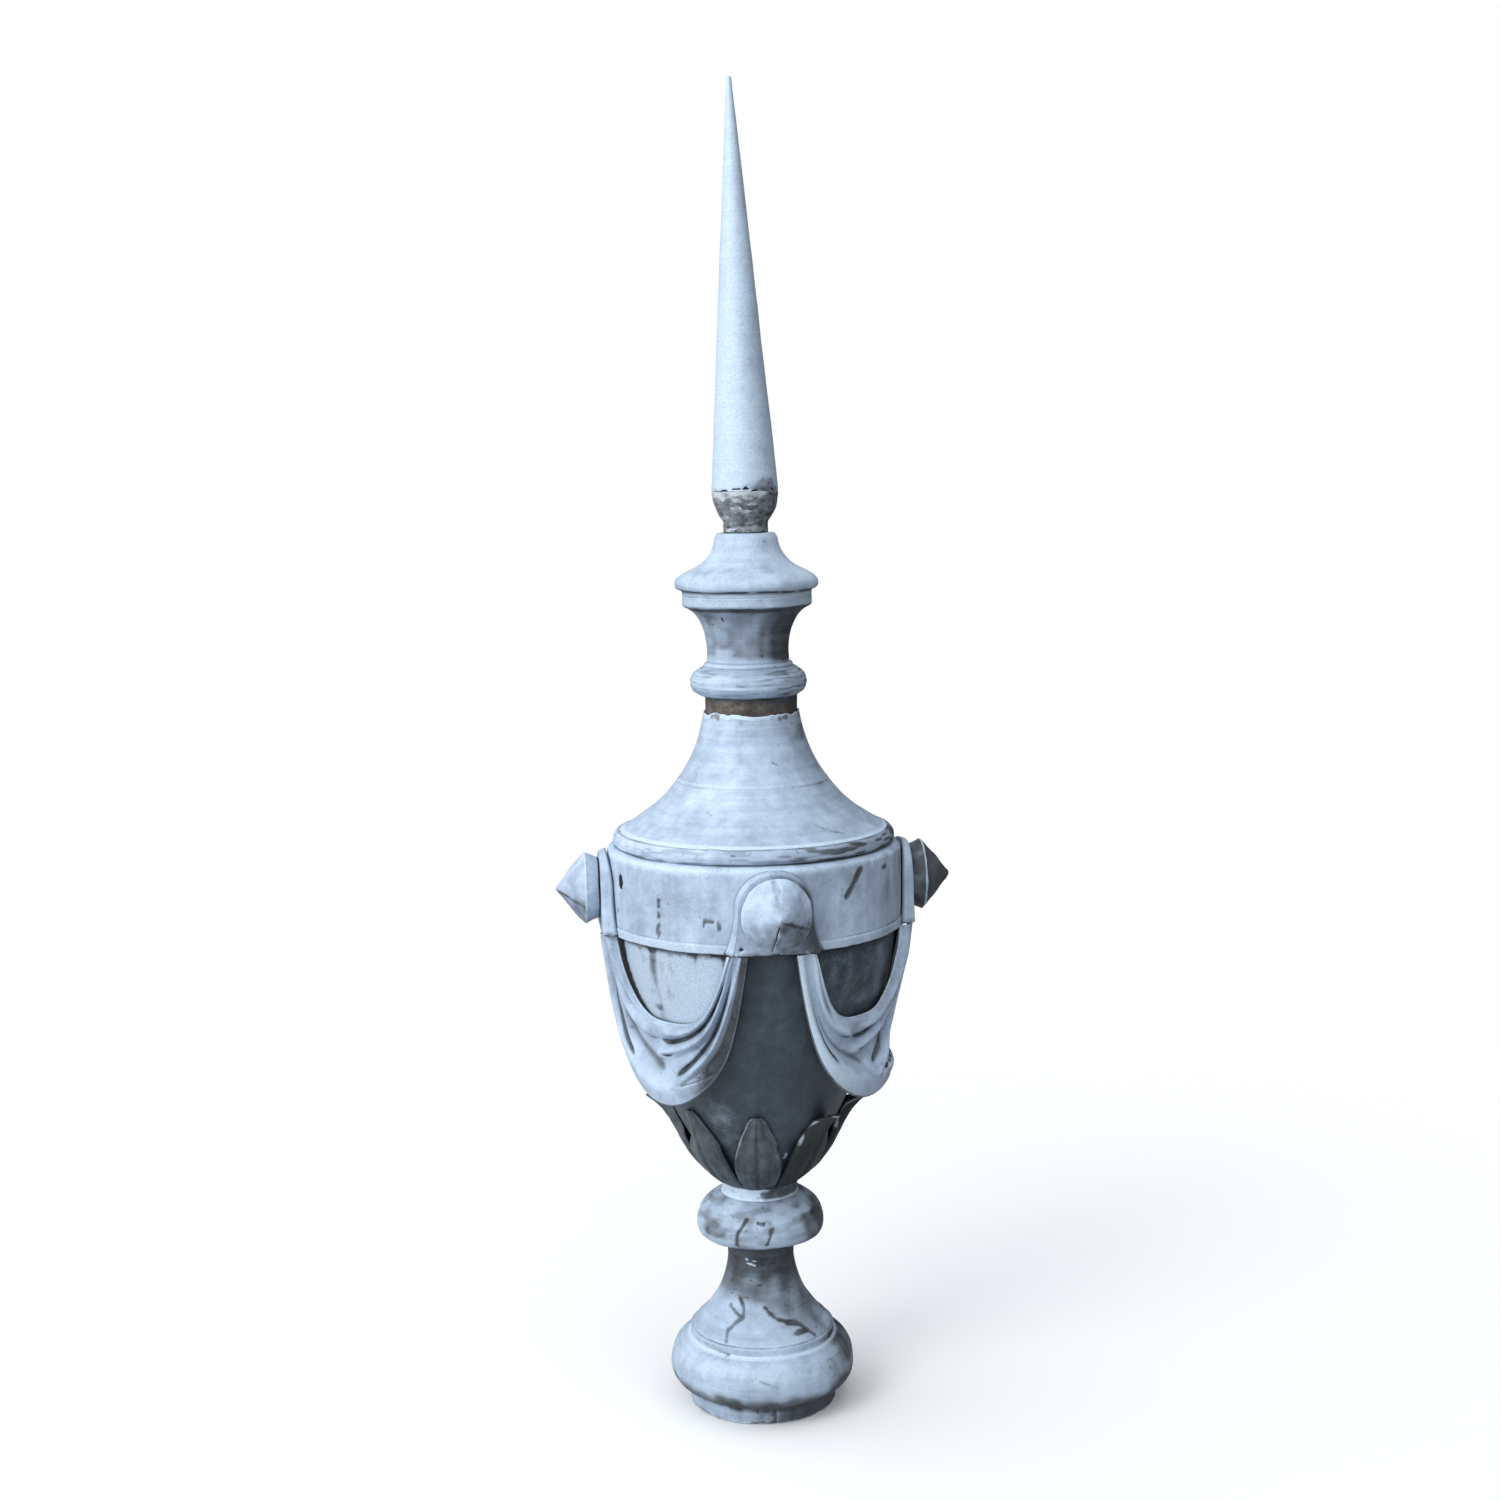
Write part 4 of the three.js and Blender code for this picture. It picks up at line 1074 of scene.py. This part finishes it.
def makePlate(index):
    c = plateLook
    rise = np.sin(np.linspace(0.0, 1.0, c["rows"]) * math.pi / 2)[:, None]
    height = mix(c["base"], c["top"], rise)
    above = height - bossLook["height"]
    below = (above / (c["base"] - bossLook["height"])) ** 2

    def half(arch, foot):
        arched = np.sqrt(np.maximum(arch ** 2 - above ** 2, 0.0))
        return np.where(above > 0, arched, mix(arch, foot, below))

    outer = half(c["arch"], c["foot"])
    inner = np.maximum(half(c["face"], c["faceFoot"]), 0.4 * outer)
    slope = np.linspace(0.0, 1.0, c["slopeSteps"], endpoint=False)[None, :]
    face = np.linspace(-1.0, 1.0, c["faceSteps"])[None, :]
    left = mix(-outer, -inner, slope)
    across = np.concatenate([left, inner * face, -left[:, ::-1]], axis=1)
    height, above = height + 0.0 * across, above + 0.0 * across
    seat = np.sqrt(c["seat"] ** 2 - across ** 2)
    middle = np.hypot(across, above)
    inset = np.where(above > 0, (c["arch"] - middle) / (c["arch"] - c["face"]),
                     (outer - np.abs(across)) / np.maximum(outer - inner, 0.1))
    lift = np.sin(np.clip(inset, 0, 1) * math.pi / 2) ** 1.2
    flat = np.stack([across, -seat, height + 200.0 * index], axis=-1)
    front = mix(seat + c["edge"], c["front"] - 0.2, lift)
    front = front + lift * (0.5 * cloud(flat, 22.0, 171) - 0.5)
    holeX, holeZ, holeSize = c["pinhole"]
    pinhole = 1.0 - ease(np.abs(across - holeX) + np.abs(height - holeZ), 0.7 * holeSize, 1.1 * holeSize)
    pinhole = pinhole * (index % 2 == 0)
    front = front - 5.0 * pinhole
    rings = np.concatenate([np.stack([across, -front, height], axis=-1),
                            np.stack([across, -seat, height], axis=-1)[:, ::-1]], axis=1)
    foot = 1.0 - ease(height + 2.0 * cloud(flat, 8.0, 172), c["base"] + 1.0, c["base"] + 9.0)
    shadow = 1.0 - ease(middle, *c["shadow"])
    # a painted shadow of the boss, to its right
    rightSide = c["darkRight"][index] * ease(across, 5.0, 50.0)
    dirtAndShade = 0.06 + 0.34 * shadow + 0.4 * rightSide * lift
    dirtAndShade = dirtAndShade + 0.45 * foot * ease(cloud(flat, 9.0, 173), -0.3, 0.3)
    # cloudy dirt, and more painted shadow on the right
    dirtAndShade = dirtAndShade + 0.16 * cloud(flat, 16.0, 174) + 0.3 * c["darkRight"][index] * ease(across, 30, 60)
    # painted light on the left-hand side
    pale = 0.35 * ease(-across, 5, 45) * (1.0 - shadow)
    pale = pale + 0.6 * foot * ease(cloud(flat, 6.0, 175), 0.1, 0.5)
    seam = 0.6 * bell(inset, 0.16) + 0.6 * bell(inset - 1.05, 0.16) * (np.abs(across) > 30)
    seam = seam + 0.5 * (1.0 - ease(height, c["base"], c["base"] + 2.5))
    # the pinhole holds painted shade
    marks = {"darkPatina": dirtAndShade, "paleBloom": pale, "seamDirtAndShade": seam, "openGap": pinhole}
    marks = {mark: np.concatenate([values, values[:, ::-1]], axis=1).ravel()
             for mark, values in marks.items()}
    piece = shellPiece(f"boss_plate_{index + 1}_zinc", rings, 90.0 * index, marks)
    finishPiece(piece, f"boss_plate_{index + 1}", sheetZinc)


for index in range(4):
    makePlate(index)
    makeBoss(index)
print("bosses and plates made")


# Four draped swags: a sheet in a deep U, with gathered folds running down from its two joints
swagLook = {
    "outerAtHem": 221, "outerAtJoint": 240, "rightTuck": 17, "fall": 3, "bandStep": 7, "room": 9.0,
    "clearance": 3.6, "standOff": 4.0, "sheet": 2.2, "gathered": 9.0, "curl": 4.0,
    "steps": 150, "rows": 72, "curlRows": 6,
    # each fold: its line as along and down, its height, and the widths of its upper and lower sides
    "folds": [
        {"line": [(-1.0, 0.27), (-0.87, 0.26), (-0.65, 0.33), (-0.5, 0.31), (-0.35, 0.235), (-0.12, 0.22)],
         "height": 10, "upper": 0.19, "lower": 0.1},
        {"line": [(-1.0, 0.8), (-0.72, 0.86), (-0.4, 0.8), (0.0, 0.84), (0.3, 0.95), (0.5, 1.04)],
         "height": 10, "upper": 0.3, "lower": 0.4},
        {"line": [(-0.1, 0.15), (0.12, 0.12), (0.35, 0.08), (0.57, 0.09), (0.91, 0.18), (1.0, 0.2)],
         "height": 8, "upper": 0.1, "lower": 0.07},
        {"line": [(-0.2, 0.46), (0.0, 0.37), (0.2, 0.3), (0.5, 0.27), (0.86, 0.31), (1.0, 0.36)],
         "height": 10, "upper": 0.12, "lower": 0.11},
        {"line": [(-0.04, 0.84), (0.1, 0.77), (0.2, 0.68), (0.44, 0.58), (0.64, 0.56), (0.9, 0.64),
                  (1.0, 0.66)],
         "height": 11, "upper": 0.1, "lower": 0.16},
        {"line": [(0.02, 0.8), (0.14, 0.79), (0.24, 0.81), (0.33, 0.87), (0.42, 0.96), (0.5, 1.04)],
         "height": 14, "upper": 0.035, "lower": 0.4},
    ],
    # each crease: its line, depth and half width
    "creases": [
        {"line": [(-0.16, 0.26), (0.0, 0.25), (0.12, 0.21), (0.3, 0.155), (0.5, 0.15), (0.8, 0.22)],
         "depth": 8, "width": 0.03},
        {"line": [(0.04, 0.68), (0.2, 0.56), (0.33, 0.47), (0.5, 0.42), (0.7, 0.42), (0.97, 0.5)],
         "depth": 8, "width": 0.04},
        {"line": [(-0.97, 0.47), (-0.72, 0.55), (-0.5, 0.52), (-0.31, 0.5), (-0.12, 0.54), (0.04, 0.66)],
         "depth": 3, "width": 0.08},
        {"line": [(-0.36, 0.3), (-0.24, 0.275), (-0.1, 0.26)], "depth": 4, "width": 0.022},
        {"line": [(-0.97, 0.62), (-0.85, 0.6), (-0.7, 0.66), (-0.5, 0.7), (-0.28, 0.7)],
         "depth": 5, "width": 0.045},
        {"line": [(-0.97, 0.13), (-0.8, 0.13), (-0.6, 0.17), (-0.4, 0.14)], "depth": 4, "width": 0.03},
        {"line": [(-0.14, 0.43), (-0.02, 0.42), (0.1, 0.36)], "depth": 5, "width": 0.025},
    ],
}


def foldRelief(along, down):                # how far the folds stand out, and how deep the creases cut in
    relief = np.zeros(along.shape)
    for fold in swagLook["folds"]:
        first, last = fold["line"][0][0], fold["line"][-1][0]
        off = down - throughPoints(along, fold["line"])
        off = np.where(off < 0, off / fold["upper"], off / fold["lower"])
        crown = np.cos(np.clip(off, -1, 1) * math.pi / 2) ** 2
        start = ease(along, first, first + 0.14) if first > -1 else 1.0
        end = 1.0 - ease(along, last - 0.14, last) if last < 1 else 1.0
        relief = np.maximum(relief, fold["height"] * crown * start * end)
    cut = np.zeros(along.shape)
    for crease in swagLook["creases"]:
        first, last = crease["line"][0][0], crease["line"][-1][0]
        off = (down - throughPoints(along, crease["line"])) / crease["width"]
        fade = ease(along, first, first + 0.12) * (1.0 - ease(along, last - 0.12, last))
        cut = np.maximum(cut, crease["depth"] * fade * np.exp(-off ** 2))
    return relief, cut


def makeSwag(index):
    c, line = swagLook, swagLine
    along = np.linspace(-1.0, 1.0, c["steps"])[:, None]
    down = np.linspace(0.0, 1.0, c["rows"])[None, :]
    along, down = along + 0.0 * down, down + 0.0 * along
    sweep = np.sin(along * math.pi / 2)
    upper, lower = swagEdges(sweep)
    height = mix(upper, lower, down)
    bearing = mix(line["upperReach"], line["lowerReach"], down) * sweep
    rise = (height - line["lowerMiddle"]) / (line["top"] - line["lowerMiddle"])
    outer = mix(c["outerAtHem"], c["outerAtJoint"], rise)
    tuck = c["rightTuck"] * ease(along, 0.22, 0.42) * (1.0 - ease(along, 0.5, 0.82))
    fall = c["fall"] * (1.0 - ease(np.abs(along), 0.55, 0.95))
    lie = bowlRadius(height) + c["clearance"]
    stand = c["standOff"] * ease(np.abs(along), 0.3, 0.75)
    near = lie + c["sheet"] + stand + c["bandStep"] * ease(down, 0, 0.05)
    ground = mix(near, outer - fall - tuck * down, ease(down, 0, 0.85)) - c["room"] * ease(down, 0.1, 0.4)
    relief, cut = foldRelief(along, down)
    relief, cut = relief * ease(down, 0.0, 0.06), cut * ease(down, 0.02, 0.1)
    fullness = np.clip((upper - lower) / 80.0, 0.3, 1.0)
    relief, cut = mix(c["gathered"] * ease(down, 0.0, 0.06), relief, fullness), cut * fullness
    flat = around(bearing + 90.0 * index, ground, height)
    joint = ease(np.abs(along), 0.92, 0.99)
    reach = ground + relief - cut + 0.5 * cloud(flat, 26.0, 181) + 2.0 * joint * cloud(flat, 7.0, 182)
    reach = np.clip(reach, lie + c["sheet"], outer + 8.0)
    front = around(bearing, reach, height)
    curl = np.linspace(0.0, 1.0, c["curlRows"] + 1)[None, 1:] * 2.4
    under = around(bearing[:, -1:] + 0.0 * curl, reach[:, -1:] - c["curl"] * (1.0 - np.cos(curl)),
                   height[:, -1:] - c["curl"] * np.sin(curl))
    back = around(bearing, np.maximum(reach - c["sheet"], lie), height + 0.8 * down)
    rings = np.concatenate([front, under, back[:, ::-1]], axis=1)

    # painted shade in the creases and in the valleys between the folds
    creaseShade = ease(cut, 1.0, 5.0)
    dirtAndShade = 0.08 + 0.6 * creaseShade + 0.18 * (1.0 - ease(relief, 1.0, 6.0)) * ease(down, 0.12, 0.3)
    # cloudy dirt, and painted shade along the right of the hem
    dirtAndShade = dirtAndShade + 0.16 * cloud(flat, 22.0, 183) + 0.3 * ease(down, 0.88, 1.0) * ease(along, 0.1, 0.5)
    dirtAndShade = dirtAndShade + 0.55 * joint * ease(cloud(flat, 7.0, 184), 0.0, 0.4)
    # painted shade on the lower right, where the sheet folds away
    dirtAndShade = dirtAndShade + 0.9 * ease(along, 0.2, 0.42) * ease(down, 0.64, 0.82)
    # a pale half on the first swag, and a painted highlight on the crests of the folds
    pale = 0.7 * (1.0 - ease(along, -0.5, 0.0)) * (index == 0) + 0.34 * ease(relief - cut, 4.0, 10.0)
    pale = pale + 0.7 * joint * ease(cloud(flat, 6.0, 185), 0.1, 0.4)
    # pale worn edges with a painted highlight
    edge = np.maximum(bell(down, 0.012), 0.6 * bell(down - 1.0, 0.02))
    blank = 0.0 * under[..., 0]

    def wrapped(outside, turnedIn, within):
        rear = (0.0 * outside + within)[:, ::-1]
        return np.concatenate([outside, blank + turnedIn, rear], axis=1).ravel()

    # painted shade on the turned-in hem and on the back
    marks = {"darkPatina": wrapped(dirtAndShade, 0.6, 0.9), "paleBloom": wrapped(pale - 0.5 * creaseShade, 0.0, 0.0),
             "wornEdgeAndHighlight": wrapped(edge, 0.2, 0.0), "seamDirtAndShade": wrapped(0.8 * creaseShade, 0.3, 0.6)}
    piece = shellPiece(f"swag_{index + 1}_zinc", rings, line["turn"] + 45.0 + 90.0 * index, marks)
    finishPiece(piece, f"swag_{index + 1}", sheetZinc)


for index in range(4):
    makeSwag(index)
print("swags draped")


# Eight water leaves cup the foot of the bowl; the front ones are pressed flat to it, the others flare out
leafLine = {
    "foot": [(64, 354), (90, 366), (111, 395), (124, 424)],
    "flare": [(134, 442), (142, 463), (172, 485)], "pressedFlare": [(132, 446), (137, 468), (145, 490)],
    "pressed": (0, 7), "turn": -8, "narrow": 24, "swell": 15, "edgeDrop": 9, "groove": 4.5, "sheet": 3.0,
    "vein": 1.6, "roll": 2.6, "cup": 24, "clearance": 2.4, "lift": 1.2, "rows": 56, "columns": 45,
}


def makeLeaf(index):
    c = leafLine
    flare = c["pressedFlare"] if index in c["pressed"] else c["flare"]
    curve = np.array([c["foot"][0], *bend(*c["foot"]), *bend(c["foot"][-1], *flare)])
    share = np.sin(np.linspace(0.0, 1.0, c["rows"]) * math.pi / 2)[:, None]
    sideways = np.linspace(-1.0, 1.0, c["columns"])[None, :]
    share, sideways = share + 0.0 * sideways, sideways + 0.0 * share
    way = np.concatenate([[0.0], np.cumsum(np.linalg.norm(np.diff(curve, axis=0), axis=1))])
    reach = np.interp(share * way[-1], way, curve[:, 0])
    height = np.interp(share * way[-1], way, curve[:, 1])
    half = c["narrow"] + c["swell"] * np.sin(math.pi * np.clip(share * 1.15, 0, 1))
    spread = np.degrees(half * np.sqrt(1 - (share * 0.99) ** 7) / reach)
    far = np.abs(sideways)
    groove = c["groove"] * bell(sideways, 0.1) * (1 - share ** 3)
    groove = groove + c["vein"] * bell(far - 0.5, 0.1) * (1 - share ** 2)
    rolled = c["roll"] * bell(far - 0.88, 0.09) * (1 - share ** 8) + 1.5 * ease(share, 0.9, 0.98)
    onBowl = bowlRadius(height + c["lift"]) + c["clearance"]
    flat = around(sideways * spread + 45.0 * index, reach, height)
    cupped = c["edgeDrop"] * (1 - share ** 3) + c["cup"] * bell(share - 0.82, 0.16)
    front = reach - cupped * far ** 2.5 - groove + rolled
    front = np.maximum(front + 0.9 * cloud(flat, 12.0, 191), onBowl + 2.0)
    behind = np.maximum(front - c["sheet"], onBowl)
    rings = np.concatenate([around(sideways * spread, front, height),
                            around(sideways * spread, behind, height + c["lift"])[:, ::-1]], axis=1)
    # painted shade on the leaves of the right-hand side
    shadedSide = 0.95 * ease(c["turn"] + 45.0 * index, 5, 35) * (index < 4)
    # darker along the midrib groove and the veins
    dirtAndShade = 0.4 * bell(sideways, 0.12) + 0.25 * bell(far - 0.5, 0.1)
    dirtAndShade = dirtAndShade + 0.3 * cloud(flat, 14.0, 192) + shadedSide
    # a painted highlight on the rolled left edge and the tip
    lip = bell(far - 0.93, 0.07) * ease(share, 0.25, 0.7) + ease(share, 0.965, 0.99)
    pale = 0.75 * lip * ease(cloud(flat, 18.0, 193), -0.4, 0.2) * (sideways < 0.3)

    def wrapped(outside, within):
        return np.concatenate([outside, (0.0 * outside + within)[:, ::-1]], axis=1).ravel()

    # painted shade on the back; darker at the foot of the leaf and along the midrib
    marks = {"darkPatina": wrapped(dirtAndShade, 0.6), "paleBloom": wrapped(pale, 0.0),
             "seamDirtAndShade": wrapped(0.8 * (1.0 - ease(share, 0.0, 0.05)) + 0.5 * bell(sideways, 0.04), 0.3)}
    piece = shellPiece(f"leaf_{index + 1}_zinc", rings, c["turn"] + 45.0 * index, marks)
    finishPiece(piece, f"leaf_{index + 1}", leafZinc)


for index in range(8):
    makeLeaf(index)
print("leaves made")


# Studio: pale floor, soft light from the upper left, camera at the photograph's angle
studio = {
    "floorRadius": 2.4, "floorClear": 0.5, "floorDrop": 0.0008, "floorColour": (0.93, 0.94, 0.95),
    "skyFrom": (-0.56, -0.42, 0.71), "skySpan": (-0.4, 0.95), "skyDim": 0.1, "skyBright": 1.5,
    "skyColour": (0.94, 0.97, 1.0), "keyPlace": (-2.9, -2.5, 3.3), "keyAim": (0, 0, 0.9),
    "keyPower": 74.0, "keySize": 2.2, "keyColour": (1.0, 0.985, 0.96),
}
viewpoint = {
    "distance": 3131, "height": 1447, "turn": 7.0, "pitch": 7.80, "roll": -1.025, "yaw": -0.053,
    "lens": 50.4, "sensor": 36.0,
}


def makeFloor():                            # a disc of pale paper that thins out into the white backdrop
    turns = np.linspace(0.0, 2 * math.pi, 96, endpoint=False)
    ring = [(studio["floorRadius"] * math.cos(turn), studio["floorRadius"] * math.sin(turn),
             -studio["floorDrop"]) for turn in turns]
    mesh = bpy.data.meshes.new("studio_floor")
    mesh.from_pydata(ring, [], [tuple(range(len(ring)))])
    floor = bpy.data.objects.new("studio_floor", mesh)
    scene.collection.objects.link(floor)
    paper = bpy.data.materials.new("studioPaper")
    paper.use_nodes = True
    nodes, links = paper.node_tree.nodes, paper.node_tree.links
    shader = nodes["Principled BSDF"]
    shader.inputs["Base Color"].default_value = (*studio["floorColour"], 1.0)
    shader.inputs["Roughness"].default_value = 0.9
    distance = nodes.new("ShaderNodeVectorMath")
    distance.operation = "LENGTH"
    links.new(nodes.new("ShaderNodeTexCoord").outputs["Object"], distance.inputs[0])
    thin = nodes.new("ShaderNodeMapRange")
    thin.interpolation_type = "SMOOTHSTEP"
    thin.inputs["From Min"].default_value = studio["floorClear"]
    thin.inputs["From Max"].default_value = studio["floorRadius"]
    thin.inputs["To Min"].default_value = 1.0
    thin.inputs["To Max"].default_value = 0.0
    links.new(distance.outputs["Value"], thin.inputs["Value"])
    links.new(thin.outputs["Result"], shader.inputs["Alpha"])
    mesh.materials.append(paper)
    floor.visible_diffuse = False


def makeSky():                              # a soft dome, bright at the upper left, dim at the right
    world = bpy.data.worlds.new("studio_sky")
    scene.world = world
    world.use_nodes = True
    nodes, links = world.node_tree.nodes, world.node_tree.links
    lit = nodes["Background"]
    lit.inputs["Color"].default_value = (*studio["skyColour"], 1.0)
    seen = nodes.new("ShaderNodeBackground")
    seen.inputs["Color"].default_value = (1.0, 1.0, 1.0, 1.0)
    facing = nodes.new("ShaderNodeVectorMath")
    facing.operation = "DOT_PRODUCT"
    facing.inputs[1].default_value = studio["skyFrom"]
    links.new(nodes.new("ShaderNodeTexCoord").outputs["Generated"], facing.inputs[0])
    dome = nodes.new("ShaderNodeMapRange")
    dome.interpolation_type = "SMOOTHSTEP"
    dome.inputs["From Min"].default_value = studio["skySpan"][0]
    dome.inputs["From Max"].default_value = studio["skySpan"][1]
    dome.inputs["To Min"].default_value = studio["skyDim"]
    dome.inputs["To Max"].default_value = studio["skyBright"]
    links.new(facing.outputs["Value"], dome.inputs["Value"])
    links.new(dome.outputs["Result"], lit.inputs["Strength"])
    ray = nodes.new("ShaderNodeLightPath")
    choose = nodes.new("ShaderNodeMixShader")
    links.new(ray.outputs["Is Camera Ray"], choose.inputs[0])
    links.new(lit.outputs[0], choose.inputs[1])
    links.new(seen.outputs[0], choose.inputs[2])
    links.new(choose.outputs[0], nodes["World Output"].inputs["Surface"])


def makeKeyLight():
    lamp = bpy.data.lights.new("key_light", "AREA")
    lamp.energy = studio["keyPower"]
    lamp.shape = "DISK"
    lamp.size = studio["keySize"]
    lamp.color = studio["keyColour"]
    holder = bpy.data.objects.new("key_light", lamp)
    holder.location = studio["keyPlace"]
    holder.rotation_euler = (Vector(studio["keyAim"]) - holder.location).to_track_quat("-Z", "Y").to_euler()
    scene.collection.objects.link(holder)


def makeCamera():
    v = viewpoint
    pitch, roll, yaw = (math.radians(v[part]) for part in ("pitch", "roll", "yaw"))
    ahead = Vector((math.sin(yaw) * math.cos(pitch), math.cos(yaw) * math.cos(pitch), -math.sin(pitch)))
    level = Vector((math.cos(yaw), -math.sin(yaw), 0.0))
    upright = level.cross(ahead)
    right = math.cos(roll) * level + math.sin(roll) * upright
    up = -math.sin(roll) * level + math.cos(roll) * upright
    pose = Matrix((right, up, -ahead)).transposed().to_4x4()
    pose.translation = Vector((0.0, -v["distance"], v["height"])) * mm
    data = bpy.data.cameras.new("viewpoint")
    data.sensor_width = v["sensor"]
    data.lens = v["lens"]
    camera = bpy.data.objects.new("viewpoint", data)
    camera.matrix_world = Matrix.Rotation(math.radians(-v["turn"]), 4, "Z") @ pose
    scene.collection.objects.link(camera)
    scene.camera = camera


makeFloor()
makeSky()
makeKeyLight()
makeCamera()
scene.view_settings.view_transform = "Standard"
print("studio set")
